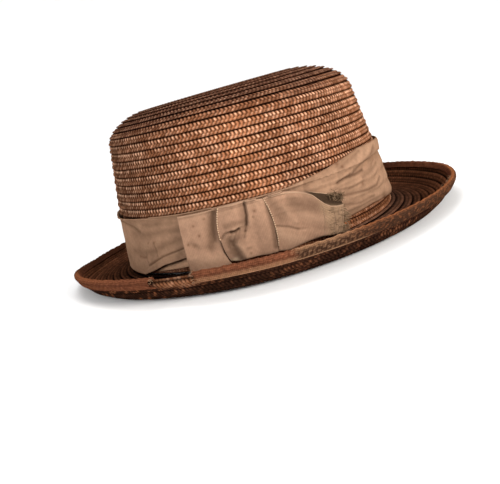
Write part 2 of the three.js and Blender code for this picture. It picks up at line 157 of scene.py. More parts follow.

# Creases of the band: angle and share of points on each, half width, height and the darkness of
# the painted shade in them
BAND_CREASES = (
    (((-59.7, 0.34), (-55.6, 0.33), (-49.2, 0.38), (-44, 0.39)), 0.7, -0.6, 0.75),
    (((-50, 0.31), (-44.7, 0.28), (-36.3, 0.20), (-30, 0.1)), 1.0, -0.6, 0.45),
    (((-59.4, 0.6), (-51.8, 0.67), (-44.8, 0.74), (-37.4, 0.73), (-31.6, 0.63)), 0.6, -0.5, 0.55),
    (((-61.9, 0.74), (-51.9, 0.86), (-42.2, 0.88)), 0.6, -0.4, 0.45),
    (((-60.1, 0.47), (-53.8, 0.54), (-46, 0.56)), 0.5, -0.4, 0.4),
    (((-46, 0.5), (-38, 0.46), (-30, 0.38)), 0.7, -0.4, 0.35),
    (((-58, 0.12), (-50, 0.1), (-44, 0.06)), 0.8, -0.3, 0.3),
    (((-64, 0.40), (-56, 0.44), (-48, 0.46), (-38, 0.42), (-31, 0.30)), 0.6, -0.3, 0.22),
    (((-66, 0.53), (-57, 0.60), (-48, 0.63), (-38, 0.62), (-31, 0.5)), 0.6, -0.3, 0.22),
    (((-66, 0.70), (-56, 0.79), (-46, 0.81), (-36, 0.80), (-29, 0.72)), 0.6, -0.3, 0.2),
    (((-62, 0.90), (-52, 0.93), (-42, 0.94), (-34, 0.93)), 0.6, -0.3, 0.2),
    (((-66, 0.20), (-58, 0.24), (-52, 0.24)), 0.6, -0.3, 0.2),
    (((-136.8, 0.49), (-135.8, 0.76)), 0.45, 0.6, 0.35), (((-143.5, 0.6), (-143, 0.8)), 0.45, 0.4, 0.3),
    (((-143, 0.88), (-133, 0.83), (-120, 0.77), (-110, 0.76)), 0.5, -0.5, 0.55),
    (((-152, 0.3), (-140, 0.35), (-120, 0.33)), 1.8, -0.5, 0.25),
    (((-154, 0.62), (-138, 0.67), (-122, 0.56)), 1.6, -0.5, 0.28),
    (((-142, 0.15), (-120, 0.17)), 1.4, -0.3, 0.25),
    (((-176, 0.03), (-160, 0.09), (-150, 0.17), (-146, 0.26)), 0.9, -0.6, 0.5),
)

# Stains of the band: angle, share, size and strength of round ones, and a streak of rust
BAND_SPOTS = (
    (-57.9, 0.02, 0.9, 0.6), (-55.8, 0.12, 0.7, 0.6), (-53.0, 0.31, 0.6, 0.5), (-46.8, 0.59, 0.8, 0.5),
    (-33.0, 1.0, 2.2, 0.5), (-18.4, 0.94, 2.0, 0.45), (-136.8, 0.49, 0.7, 0.6), (-141.0, 0.47, 0.5, 0.5),
)
RUST_STREAK = ((-149.3, 0.683), (-143.6, 0.717))

# The second layer behind the bow shows below the band between two angles
UNDER_FOLD = {"from": -161.0, "to": -109.0, "bottom_from": 6.2, "bottom_to": 11.4, "above": 5.0}

# Bow loops, seen from the bow's side: x at each side's bottom, middle and top, and rows of
# share of the width, top, bottom, stand-off from the band and thickness.
# Marks have a line of points, half width, height and darkness: painted shade in a crease, or a
# painted highlight where the darkness is negative. Spots have x, z, size and strength.
LEFT_TAB = {
    "left": (-48.3, -47.9, -46.9),
    "right": (-25.1, -27.6, -24.1),
    "across": (
        (0, 40.7, 9.4, 0.8, 4.4), (0.25, 40.7, 7.9, 0.4, 4.6), (0.6, 40.7, 8.1, 0, 4.6),
        (0.82, 40.8, 8.5, 0, 3.4), (1, 40.9, 8.9, 0, 3),
    ),
    "marks": (
        (((-25.5, 42), (-28.6, 35), (-31.5, 26), (-33.5, 21)), 2.3, -0.9, 0.6),
        (((-27, 40), (-29.4, 33), (-30.4, 24)), 0.9, -0.4, 0.35),
        (((-46, 16), (-36, 13.5), (-28, 13)), 2.0, 0.4, -0.25), (((-44, 25), (-40, 22)), 1.2, -0.3, 0.3),
        (((-46, 40.2), (-25, 40.4)), 0.5, 0, 0.5),
    ),
    "spots": (
        (-39.6, 34.3, 0.5, 0.6), (-37.9, 28.4, 0.55, 0.6), (-32.7, 36.9, 0.45, 0.5),
        (-45.2, 24.6, 0.5, 0.6), (-42.0, 23.4, 0.9, 0.3),
    ),
}
MIDDLE_TAB = {
    "left": (-24.9, -27.4, -23.9),
    "right": (1.3, 3.0, 0.7),
    "across": (
        (0, 41.3, 10.6, 0, 3.8), (0.12, 41.8, 10.1, 0, 5.2), (0.22, 42, 9.9, 0, 6.2),
        (0.48, 42.1, 10.1, 0, 5.6), (0.6, 42.1, 9.9, 0, 3.2), (0.74, 41.6, 9.5, 0, 5.4),
        (1, 40.2, 9.3, 0, 4.6),
    ),
    "marks": (
        (((-20.6, 26.8), (-18.3, 27.0), (-16.2, 27.9)), 0.5, -1.3, 1.0),
        (((-18.8, 28.2), (-15.6, 29.2), (-12.3, 29.4)), 0.6, 0.6, -0.4),
        (((-23, 30.4), (-17, 30.9), (-11.5, 30.2)), 1.2, -0.4, 0.35),
        (((-21.0, 27.0), (-23.9, 26.6), (-26.4, 24.6)), 0.5, -0.7, 0.5),
        (((-20.3, 25.9), (-22.7, 23.2), (-24.3, 19.1)), 1.0, -0.5, 0.2),
        (((-18.3, 26.1), (-20.1, 22.6), (-21.4, 19.6)), 0.7, -0.6, 0.4),
        (((-19.4, 25.6), (-21.2, 22.8)), 0.5, 0.5, -0.3),
        (((-16.2, 26.7), (-17.7, 23.2), (-19.6, 20.3)), 0.5, -0.5, 0.35),
        (((-9.5, 42.1), (-9.9, 37.8), (-10.3, 33.5), (-11.6, 29.0)), 0.5, -1.4, 0.9),
        (((-11.9, 28.4), (-13, 25.6)), 0.45, -0.9, 0.6), (((-13, 25.6), (-14.6, 22.4)), 0.35, -0.5, 0.35),
        (((-8.2, 41.5), (-8.5, 37.8), (-8.7, 33.5), (-9.9, 28.4)), 1.0, 0.7, -0.2),
        (((-11.3, 41), (-12, 34), (-13.4, 28), (-16, 22)), 1.5, -0.3, 0.3),
        (((-21.5, 21.3), (-21.0, 17.2), (-20.2, 11)), 2.0, -0.9, 0.6),
        (((-19.0, 19.6), (-17.2, 15.4), (-16.2, 11)), 1.2, 0.9, -0.3),
        (((1.8, 37), (2.0, 24), (0.8, 13)), 1.0, -0.3, 0.6), (((-14, 16.4), (-12.4, 16.2)), 0.5, 0, 0.4),
    ),
    "spots": (
        (-5.4, 35.2, 0.6, 0.55), (-7.0, 32.2, 0.4, 0.6), (-13.2, 13.2, 0.4, 0.5), (-22.3, 10.4, 1.3, -0.9),
    ),
}
RIGHT_TAB = {
    "left": (1.6, 3.3, 1.0),
    "right": (38.4, 41.6, 43.4),
    "front_rim": (
        (14, 45), (19.9, 39.1), (23.6, 37.6), (27.6, 35.2), (29.9, 32.5), (33, 28.7), (36, 26.4),
        (39.5, 25.4), (45, 25),
    ),
    "across": (
        (0, 40.4, 10, 0, 5.0), (0.14, 41.7, 8.5, 0, 5.4), (0.32, 40.6, 9.6, 0, 5),
        (0.52, 38, 10.6, 0.2, 5.4), (0.76, 34.4, 10, 0.4, 6.4), (1, 29.4, 8.7, 0.6, 7.4),
    ),
    "marks": (
        (((3.5, 39), (6.5, 33), (7, 27)), 2.6, -0.5, 0.35),
        (((4.2, 23.8), (10.2, 21.6), (15.1, 18.8)), 0.5, -0.6, 0.4),
        (((15.1, 18.8), (19, 18)), 0.5, -0.3, 0.2), (((4.4, 30), (12, 30.5), (20, 28.5)), 0.5, 0.15, 0.12),
        (((4.2, 33), (12, 34), (20, 32)), 0.5, 0.15, 0.12),
        (((4, 36), (12, 37.4), (20, 35.6)), 0.5, 0.15, 0.12),
        (((5, 19.5), (9, 15.4), (14.5, 12)), 2.4, 0.5, -0.4),
        (((10, 33), (13, 27), (15, 23)), 1.0, 0.4, -0.2),
        (((16, 34), (22, 30.5), (30, 26.5), (37, 22)), 3.2, -0.7, 0.5),
        (((18, 26), (28, 21), (34, 17)), 1.6, 0.3, -0.2),
        (((16, 21.5), (24, 17), (32, 13.5)), 1.2, -0.25, 0.15),
    ),
    "spots": (),
}
TAB_GAP = 0.5
LOOP_SHAPE = (2.7, 16.0)
LOOP_SQUARENESS = 3.4
MOUTH_DEPTH = 2.6
PROFILE_SHIFTS = (-0.08, -0.05, -0.02, 0.02, 0.05, 0.08)
TAB_ROUND = 200
TAB_TOP = TAB_ROUND // 4
TAB_ACROSS = 64
TAB_CROWDING = 0.35

# Woven beads of a selvage: pitch, step along it, mean radius and how much it swells
PICOTS = {"pitch": 1.3, "step": 0.2, "radius": 0.18, "swell": 0.16}

# Binding round the brim's edge, torn away between two angles. Shares go round its fold from the
# top of the brim to the underside, and a leg is the share that lies flat on either face
BINDING_INNER = 3.4
BINDING_OUTER = 4.4
BINDING_OFF = 1.75
BINDING_LEG = 0.32
BINDING_ARC = 2.1
BINDING_WIDTH = 14.0
PUCKER = 0.2
BINDING_CREST_AT = 0.42
TORN_FROM = -126.0
TORN_TO = -114.0

# Threads: a way that none of them takes, how they droop, the lowest height that each kind falls
# to, and their radii at root and end
ODD_WAY = (0.31, 0.29, 0.9)
DROOP = (0, 0, -0.05)
BOW_THREADS = {"lowest": 8.5, "radii": (0.14, 0.07)}
BINDING_THREADS = {"lowest": 0.3, "radii": (0.15, 0.07)}

# The camera that the photograph fits, in the frame's axes: degrees, millimetres and pixels
CAMERA_AZIMUTH = -3.092
CAMERA_ELEVATION = 12.881
CAMERA_ROLL = -14.564
CAMERA_DISTANCE = 414.35
CAMERA_AIM = (-3.5, 0.0, 8.5)
PIXELS_PER_RADIAN = 609.1
VIEW_CENTRE = (260.45, 223.507)
PHOTO_SIZE = (500, 484)
SENSOR = 36.0

# Floor: radii and heights of its rings. Lights: name, place, size, watts and colour, in metres
FLOOR_RADII = (0.5, 200, 500, 900, 1200, 1500, 1700, 1800, 1850)
FLOOR_HEIGHTS = (0, 0, 0, 0, 40, 190, 450, 800, 1400)
FLOOR_GREY = 0.9
FLOOR_ROUGHNESS = 0.9
LIGHTS = (
    ("key", (0.75, -0.95, 0.55), 0.5, 18, (1.0, 0.97, 0.93)),
    ("fill", (-0.9, -0.9, 0.8), 0.9, 6, (1, 1, 1)),
    ("top", (0.0, 0.3, 1.4), 1.0, 9, (1, 1, 1)),
)
LIGHTS_AIM = (0, 0, 0.05)
WORLD_STRENGTH = 0.55


def power(value, exponent):
    return np.sign(value) * np.abs(value) ** exponent


def bell(distance, spread):
    return np.exp(-0.5 * (distance / spread) ** 2)


def smoothstep(value, low, high):
    x = np.clip((value - low) / (high - low), 0, 1)
    return x * x * (3 - 2 * x)


def between(value, rise, fall):
    """1 after a soft rise and before a soft fall, each given as its start and end."""
    return smoothstep(value, *rise) * (1 - smoothstep(value, *fall))


def lerp(a, b, share):
    return a + (b - a) * share


def unit(vectors):
    return vectors / np.maximum(np.linalg.norm(vectors, axis=-1, keepdims=True), 1e-9)


def steps(stretches):
    """Even steps over stretches that each have a start, an end and a count, without the last end."""
    return np.concatenate([np.linspace(*stretch, endpoint=False) for stretch in stretches])


def lengths_along(line):
    """The distance along a line of points at each of them."""
    return np.concatenate([[0.0], np.cumsum(np.linalg.norm(np.diff(line, axis=0), axis=1))])


def wobble(at, seed, waves=5, lowest=1.0):
    """A smooth random wave of about unit height."""
    rng = np.random.default_rng(seed)
    total = np.zeros_like(np.asarray(at, float))
    for k in range(waves):
        turns = lowest * 1.7**k
        total += np.sin(at * turns + rng.uniform(0, 2 * math.pi)) / (k + 1)
    return total / 1.6


def cloud(points, size, seed):
    """A smooth random field from about -1 to 1 over points in millimetres."""
    rng = np.random.default_rng(seed)
    total = np.zeros(points.shape[:-1])
    for _ in range(9):
        way = unit(rng.normal(size=3)) * 2 * math.pi / size * rng.uniform(0.6, 1.8)
        total += np.sin(points @ way + rng.uniform(0, 2 * math.pi))
    return total / 4.5


# Form of the crown


def oval_at(height):
    share = (height - BASE_HEIGHT) / (SHOULDER_HEIGHT - BASE_HEIGHT)
    return lerp(OVAL_AT_BASE, OVAL_AT_SHOULDER, np.minimum(share, 1))


def side_radius(height):
    above = SHOULDER_RADIUS + SIDE_SLOPE * (SHOULDER_HEIGHT - height)
    share = (height - BASE_HEIGHT) / (WAIST_HEIGHT - BASE_HEIGHT)
    return np.where(height > WAIST_HEIGHT, above, lerp(BASE_RADIUS, WAIST_RADIUS, share))


def crown_point(angle, radius, height):
    """Points of the crown from an angle in degrees, a mean radius and a height."""
    cosine, sine = np.cos(np.radians(angle)), np.sin(np.radians(angle))
    across = SHOULDER_ACROSS + SHOULDER_SKEW * cosine
    tip = SHOULDER_RADIUS - SHOULDER_ACROSS
    on_tip = radius * (SHOULDER_RADIUS - across) / tip
    on_shoulder = SHOULDER_RADIUS - (SHOULDER_RADIUS - radius) * across / SHOULDER_ACROSS
    r = np.where(radius < tip, on_tip, np.where(radius < SHOULDER_RADIUS, on_shoulder, radius))
    oval = oval_at(height) * np.minimum(1, r / ROUND_WITHIN)
    x = (r + oval) * cosine + CROWN_LEAN * height
    y = (r - oval) * sine
    is_tip = smoothstep(height, SHOULDER_HEIGHT, CROWN_TOP - STRAW)
    dip = TIP_DIP["depth"] * bell(np.hypot(x - TIP_DIP["x"], y - TIP_DIP["y"]), TIP_DIP["spread"])
    return np.stack([x + CROWN_CENTRE_X, y, height + (TIP_TILT * x - dip) * is_tip], -1)


def crown_outline():
    """The crown's outline from the middle of the tip to its base: lengths, radii and heights."""
    tip = SHOULDER_RADIUS - SHOULDER_ACROSS
    down = CROWN_TOP - SHOULDER_HEIGHT
    end = math.atan(SIDE_SLOPE * down / SHOULDER_ACROSS)
    turn = np.linspace(math.pi / 2, end, 80)
    radii = np.concatenate([[0.0], tip + SHOULDER_ACROSS * np.cos(turn)])
    heights = np.concatenate([[CROWN_TOP], SHOULDER_HEIGHT + down * np.sin(turn)])
    side = np.linspace(heights[-1], BASE_HEIGHT, 60)[1:]
    radii = np.concatenate([radii, side_radius(side)])
    heights = np.concatenate([heights, side])
    return lengths_along(np.stack([radii, heights], -1)), radii, heights


OUTLINE = crown_outline()


def crown_place(angle, length, off):
    """Points on the crown at a length along its outline, moved off it."""
    lengths, radii, heights = OUTLINE
    even = np.linspace(0, lengths[-1], 600)
    along_r, along_h = (np.gradient(np.interp(even, lengths, values)) for values in (radii, heights))
    size = np.hypot(along_r, along_h)
    length = np.clip(length, 2 * TIP_HOLE, lengths[-1])
    radius = np.interp(length, lengths, radii) + off * np.interp(length, even, -along_h / size)
    height = np.interp(length, lengths, heights) + off * np.interp(length, even, along_r / size)
    return crown_point(angle, np.maximum(radius, TIP_HOLE), height)


def length_at_height(height):
    """The length along the crown's outline where its side has this height."""
    lengths, _, heights = OUTLINE
    return float(np.interp(-height, -heights, lengths))


# Form of the brim


def base_height(angle):
    return BASE_HEIGHT + BASE_TILT * BASE_RADIUS * np.cos(np.radians(angle))


def edge_height(angle):
    total = np.full_like(np.asarray(angle, float), EDGE_MEAN)
    for turns, cosine, sine in EDGE_WAVES:
        total += cosine * np.cos(np.radians(turns * angle)) + sine * np.sin(np.radians(turns * angle))
    return np.maximum(total, EDGE_LOWEST)


def roll_rise(angle):
    """How far the roll's bend is off the floor. The brim turns up sooner at the bow side of the front."""
    return ROLL_RISE * smoothstep(np.cos(np.radians(angle - ROLL_RISE_TOWARDS)), 0, 0.6)


def brim_ring(angle, half_length, half_width, squareness, height):
    x = half_length * power(np.cos(np.radians(angle)), 2 / squareness)
    y = half_width * power(np.sin(np.radians(angle)), 2 / squareness)
    return np.stack([BRIM_CENTRE_X + x, y, height + 0 * x], -1)


def bezier(a, b, c, share):
    s = share[None, :, None]
    return (1 - s) ** 2 * a[:, None] + 2 * s * (1 - s) * b[:, None] + s**2 * c[:, None]


def brim_table():
    """The middle of the brim's straw: points and upward normals, by even angles and even shares."""
    angle = np.linspace(-180, 180, BRIM_ANGLES)
    cosine, sine = np.cos(np.radians(angle)), np.sin(np.radians(angle))
    inner = BASE_RADIUS - STRAW
    root_x = CROWN_CENTRE_X + (inner + OVAL_AT_BASE) * cosine
    root = np.stack([root_x, (inner - OVAL_AT_BASE) * sine, base_height(angle) - STRAW / 2], -1)
    rest = brim_ring(angle, REST_LENGTH, REST_WIDTH, REST_SQUARENESS, STRAW / 2)
    edge_length = np.where(cosine > 0, EDGE_FRONT, EDGE_BACK)
    edge = brim_ring(angle, edge_length, EDGE_WIDTH, EDGE_SQUARENESS, edge_height(angle))
    bend_in, bend_out = (root + rest) / 2, lerp(rest, edge, ROLL_ROUNDNESS)
    bend_in[:, 2] = STRAW / 2
    bend_out[:, 2] = STRAW / 2 + roll_rise(angle)
    share = np.linspace(0, 1, BRIM_SHARES // 2 + 1)
    lines = np.concatenate([bezier(root, bend_in, rest, share), bezier(rest, bend_out, edge, share[1:])], 1)
    even = np.linspace(0, 1, BRIM_SHARES)
    points, reach = [], []
    for line in lines:
        lengths = lengths_along(line)
        points.append(np.stack([np.interp(even * lengths[-1], lengths, line[:, k]) for k in range(3)], -1))
        reach.append(lengths[-1])
    points = np.array(points)
    round_it = np.stack([-REST_LENGTH * sine, REST_WIDTH * cosine, 0 * sine], -1)
    up = unit(np.cross(unit(np.gradient(points, axis=1)), unit(round_it)[:, None]))
    return points, up, np.array(reach)


BRIM_POINTS, BRIM_UP, BRIM_REACH = brim_table()


def table_row(angle):
    return np.mod(angle + 180, 360) / 360 * (len(BRIM_REACH) - 1)


def read_table(table, angle, share):
    """Values of a table over even angles and shares, read between its entries."""
    row, column = table_row(angle), np.clip(share, 0, 1) * (table.shape[1] - 1)
    i = np.minimum(row.astype(int), table.shape[0] - 2)
    j = np.minimum(column.astype(int), table.shape[1] - 2)
    a, b = (row - i)[..., None], (column - j)[..., None]
    return lerp(lerp(table[i, j], table[i + 1, j], a), lerp(table[i, j + 1], table[i + 1, j + 1], a), b)


def brim_reach(angle):
    """The length of the straw from the crown to the brim's edge."""
    return np.interp(table_row(angle), np.arange(len(BRIM_REACH)), BRIM_REACH)


def brim_place(angle, share, off):
    """Points on the brim at a share of the way out from the crown, moved off its middle."""
    points = read_table(BRIM_POINTS, angle, share) + off[..., None] * read_table(BRIM_UP, angle, share)
    points[..., 2] = np.maximum(points[..., 2], FLOOR_CLEAR)
    return points


# Making meshes


def new_mesh(name, points, faces, material, tint, uv=None):
    """A smooth object from points in millimetres, quads and a linear colour for each point."""
    mesh = bpy.data.meshes.new(name)
    mesh.from_pydata(points * MM, [], faces, shade_flat=False)
    layer = mesh.attributes.new("tint", "FLOAT_COLOR", "POINT")
    layer.data.foreach_set("color", np.column_stack([tint, np.ones(len(tint))]).ravel())
    if uv is not None:
        layer = mesh.uv_layers.new(name="UVMap")
        layer.data.foreach_set("uv", uv[faces.ravel()].ravel())
    mesh.validate()
    mesh.materials.append(material)
    piece = bpy.data.objects.new(name, mesh)
    bpy.context.scene.collection.objects.link(piece)
    return piece


def dress(piece, slot, *nodes):
    """Puts a piece on the part's one body and hides the solids that it replaces."""
    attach(piece, "root")
    if nodes:
        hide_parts(*nodes)


def grid_faces(nu, nv, ring_u, ring_v):
    """Quads over a grid of points, which may go round in u or in v."""
    i = np.arange(nu if ring_u else nu - 1)[:, None]
    j = np.arange(nv if ring_v else nv - 1)[None, :]
    i2, j2 = (i + 1) % nu, (j + 1) % nv
    return np.stack([i * nv + j, i * nv + j2, i2 * nv + j2, i2 * nv + j], -1).reshape(-1, 4)


def tube_faces(count, around):
    """Quads between closed loops of an even number of points, with the two end loops closed."""
    a = np.arange(around // 2 - 1)
    cap = np.stack([a, around - 1 - a, around - 2 - a, a + 1], -1)
    sides = grid_faces(count, around, False, True)
    return np.concatenate([sides, cap, cap[:, ::-1] + (count - 1) * around])


def facing_out(points, faces):
    """The faces, turned round if the closed surface that they make is inside out."""
    a, b, c, d = (points[faces[:, k]] for k in range(4))
    volume = (a * np.cross(b, c)).sum() + (a * np.cross(c, d)).sum()
    return faces[:, ::-1] if volume < 0 else faces


def wrapped_gradient(grid, axis, is_ring):
    if is_ring:
        return np.roll(grid, -1, axis) - np.roll(grid, 1, axis)
    return np.gradient(grid, axis=axis)


def cloth(name, grid, thickness, material, tint, uv, ring=None):
    """A closed sheet of cloth from a grid of points on its outer face. ring is the axis that goes round.

    Seen from outside, the first axis runs to the right and the second runs down.
    """
    across, down = (wrapped_gradient(grid, axis, axis == ring) for axis in (0, 1))
    inner = grid + unit(np.cross(across, down)) * thickness
    edge_axis = 0 if ring == 1 else 1
    pairs = ((grid, inner), (tint, tint), (uv, uv))
    both = [np.concatenate([outer, np.flip(other, edge_axis)], edge_axis) for outer, other in pairs]
    points, tints, uvs = (values.reshape(-1, values.shape[-1]) for values in both)
    shape = both[0].shape[:2]
    quads = tube_faces(*shape) if ring is None else grid_faces(*shape, True, True)
    faces = facing_out(points, quads[:, [0, 3, 2, 1]])
    return new_mesh(name, points, faces, material, tints, uvs)


def tubes(name, threads, around, material):
    """Closed tubes in one mesh. Each has a path, radii at even shares of it and a colour."""
    parts, start = [], 0
    turn = np.arange(around)[None, :, None] / around * 2 * math.pi
    for path, radii, tint in threads:
        along = unit(np.gradient(path, axis=0))
        side = unit(np.cross(along, np.array(ODD_WAY)))
        other = np.cross(along, side)
        ring = side[:, None] * np.cos(turn) + other[:, None] * np.sin(turn)
        radius = np.interp(np.linspace(0, 1, len(path)), np.linspace(0, 1, len(radii)), radii)
        points = (path[:, None] + ring * radius[:, None, None]).reshape(-1, 3)
        faces = facing_out(points, tube_faces(len(path), around)) + start
        parts.append((points, faces, np.tile(tint, (len(points), 1))))
        start += len(points)
    points, faces, tints = (np.concatenate(values) for values in zip(*parts))
    return new_mesh(name, points, faces, material, tints)


# Colours


def colour(red, green, blue):
    """A linear colour from the eight-bit values that it shows as."""
    c = np.array([red, green, blue]) / 255
    return np.where(c <= 0.04045, c / 12.92, ((c + 0.055) / 1.055) ** 2.4)


def ramp(value, stops):
    """Colours read between stops of (value, colour)."""
    at, colours = zip(*stops)
    return np.stack([np.interp(value, at, channel) for channel in zip(*colours)], -1)


def mix(a, b, share):
    share = np.asarray(share)[..., None]
    return a * (1 - share) + b * share


def stroke(across, up, points, width):
    """1 on a line through the given points of a surface and falling off beside it."""
    nearest = np.full(np.broadcast_shapes(np.shape(across), np.shape(up)), np.inf)
    for (x0, y0), (x1, y1) in zip(points, points[1:]):
        dx, dy = x1 - x0, y1 - y0
        t = np.clip(((across - x0) * dx + (up - y0) * dy) / (dx * dx + dy * dy), 0, 1)
        nearest = np.minimum(nearest, np.hypot(across - x0 - t * dx, up - y0 - t * dy))
    return bell(nearest, width)


# Crown straw from back to front: partly its own tone, and partly painted light towards the lit side
STRAW_BACK = colour(110, 70, 48)
STRAW_SIDE = colour(148, 92, 61)
STRAW_FRONT = colour(180, 114, 76)
STRAW_PEACH = colour(182, 128, 98)
# Pale colour of the painted highlights on straw strands
STRAW_HIGHLIGHT = colour(222, 182, 152)
STRAW_TIP = colour(98, 62, 46)
STRAW_INSIDE = colour(84, 58, 40)
# Near-black colour of painted shade
SHADE_NEAR_BLACK = colour(34, 20, 14)
BRIM_LIT_ROOT = colour(104, 72, 56)
BRIM_MIDDLE = colour(78, 47, 31)
BRIM_EDGE = colour(98, 60, 40)
BRIM_UNDER_SHADE = colour(50, 31, 23)
BAND_CLOTH = colour(145, 113, 90)
BAND_SHADE = colour(112, 82, 62)
BOW_CLOTH = colour(149, 116, 94)
BOW_RIBBED = colour(147, 114, 92)
BOW_PALE = colour(160, 130, 106)
BOW_SHADE = colour(62, 44, 32)
FOLD_SHADE = colour(66, 44, 32)
LIT_UNDER_CLOTH = colour(190, 150, 120)
BOW_INSIDE_SHADE = colour(44, 33, 24)
BOW_TORN = colour(206, 180, 150)
BOW_LOOSE = colour(136, 110, 86)
PICOT = colour(196, 164, 134)
STAIN = colour(76, 42, 24)
THREAD_DARK = colour(64, 50, 36)
THREAD_PALE = colour(150, 122, 96)
BINDING_DYE = colour(98, 58, 40)
BINDING_WORN = colour(146, 108, 80)
BINDING_CREST = colour(132, 80, 50)
BINDING_SHADED = colour(54, 36, 26)
BINDING_TOP = colour(84, 46, 32)
BINDING_PALE = colour(150, 112, 84)

# Surfaces: pitch and depth of the ribbons' ribs, and how much ribs and dye shade them
STRAW_ROUGHNESS = 0.42
RIBBON_ROUGHNESS = 0.85
THREAD_ROUGHNESS = 0.8
RIBBON_WEAVES = {
    "band": {"rib": 0.55, "depth": 0.04, "weave": 0.1, "mottle": 0.13},
    "bow": {"rib": 0.9, "depth": 0.04, "weave": 0.05, "mottle": 0.12},
    "binding": {"rib": 1.2, "depth": 0.2, "weave": 0.3, "mottle": 0.3},
}

# The crown's tones by how far a place faces the warm side, lighter there partly as painted light,
# and the brim's by how far out it is
WARM_LIT_SIDE = -60.0
# Painted shade round the crown's front
FRONT_SHADE = {"angle": -5.73, "spread": 28.65, "depth": 0.42}
CROWN_TONES = ((0.45, STRAW_BACK), (0.75, STRAW_SIDE), (0.93, STRAW_FRONT), (1, STRAW_SIDE))
BRIM_TONES = ((0.75, 0 * SHADE_NEAR_BLACK), (0.95, BRIM_MIDDLE), (1.08, BRIM_EDGE))


# Materials


def set_inputs(node, inputs):
    """Sets a node's inputs, by name or number, to constants or links them to other nodes' outputs."""
    for key, value in inputs.items():
        if isinstance(value, bpy.types.NodeSocket):
            node.id_data.links.new(value, node.inputs[key])
        else:
            node.inputs[key].default_value = value


def add_node(material, kind, inputs, **settings):
    """The outputs of a new node."""
    node = material.node_tree.nodes.new("ShaderNode" + kind)
    for key, value in settings.items():
        setattr(node, key, value)
    set_inputs(node, inputs)
    return node.outputs


def calculate(material, operation, *values):
    return add_node(material, "Math", dict(enumerate(values)), operation=operation)[0]


def tinted_material(name, roughness, texture=None, **numbers):
    """A matt material whose colour is its mesh's own tint. A texture gives a shade and other inputs."""
    material = bpy.data.materials.new(name)
    material.use_nodes = True
    tint = add_node(material, "Attribute", {}, attribute_name="tint")["Color"]
    inputs = {"Roughness": roughness, "Specular IOR Level": 0, "Base Color": tint}
    if texture:
        shade, others = texture(material, **numbers)
        shaded = add_node(material, "VectorMath", {0: tint, 1: shade}, operation="MULTIPLY")[0]
        inputs.update({"Base Color": shaded, **others})
    set_inputs(material.node_tree.nodes["Principled BSDF"], inputs)
    return material


def straw_texture(material):
    """The fine grain of split straw."""
    place = add_node(material, "TexCoord", {})["Object"]
    grain = add_node(material, "TexNoise", {"Vector": place, "Scale": 900, "Detail": 3})["Fac"]
    return add_node(material, "MapRange", {"Value": grain, "To Min": 0.6, "To Max": 1.4})["Result"], {}


def ribbon_texture(material, rib, depth, weave, mottle):
    """Ribs along a ribbon, finer threads across and a mottled dye.

    rib and depth are millimetres, weave and mottle are how much the ribs and the dye shade it.
    """
    place = add_node(material, "TexCoord", {})["UV"]
    heights = []
    for direction, pitch, share in (("Y", rib, 1.0), ("X", rib * 0.8, 0.6)):
        wave = {"Vector": place, "Scale": 2 * math.pi / 20 / pitch, "Distortion": 0.6, "Detail Scale": 2.0}
        wave = add_node(material, "TexWave", wave, bands_direction=direction)["Fac"]
        heights.append(calculate(material, "MULTIPLY", wave, share))
    height = calculate(material, "ADD", *heights)
    ribs = calculate(material, "MULTIPLY_ADD", height, weave, 1 - 0.8 * weave)
    dye = {"Vector": place, "Scale": 0.55, "Detail": 6, "Roughness": 0.7}
    dye = {"Value": add_node(material, "TexNoise", dye)["Fac"], "From Min": 0.3, "From Max": 0.7}
    dye = add_node(material, "MapRange", {**dye, "To Min": 1 - mottle, "To Max": 1 + mottle})["Result"]
    bump = add_node(material, "Bump", {"Distance": depth * MM, "Height": height})["Normal"]
    return calculate(material, "MULTIPLY", ribs, dye), {"Normal": bump}


# Straw braid


def even_turns(place, first, last, step):
    """Turn numbers of a spiral at even steps along it, and the distance along it at each."""
    fine = np.linspace(first, last, 6000)
    along = lengths_along(place(fine, np.full_like(fine, -BRAID_WIDTH / 2), np.zeros_like(fine)))
    at = np.arange(0, along[-1], step)
    return np.interp(at, along, fine)[:, None], at[:, None]


def plait(at, across, seed):
    """Relief, strand and tone of a plait, all from 0 to 1, at distances along it and places across it."""
    tones = np.random.default_rng(seed).random(TONES)
    upper = across < PLAIT_MIDDLE
    out = np.abs(across - PLAIT_MIDDLE)
    slip = 0.12 * wobble(at / 9, seed + 1)
    slant = PLAIT_SLANT * out * BRAID_WIDTH / 2 / PLAIT_PITCH
    phase = at / PLAIT_PITCH + slip + np.where(upper, 0.0, 0.5) + slant
    strand = np.abs(np.sin(math.pi * phase)) ** 0.8
    reach = np.where(upper, 0.8, 1 - PLAIT_MIDDLE)
    arch = 1 - np.abs(2 * np.minimum(out / reach, 1) - 1) ** 2.4
    relief = (0.15 + 0.85 * strand) * (0.3 + 0.7 * arch)
    which = (np.floor(phase).astype(int) + np.where(upper, 0, 1777)) % TONES
    return relief, strand, tones[which]


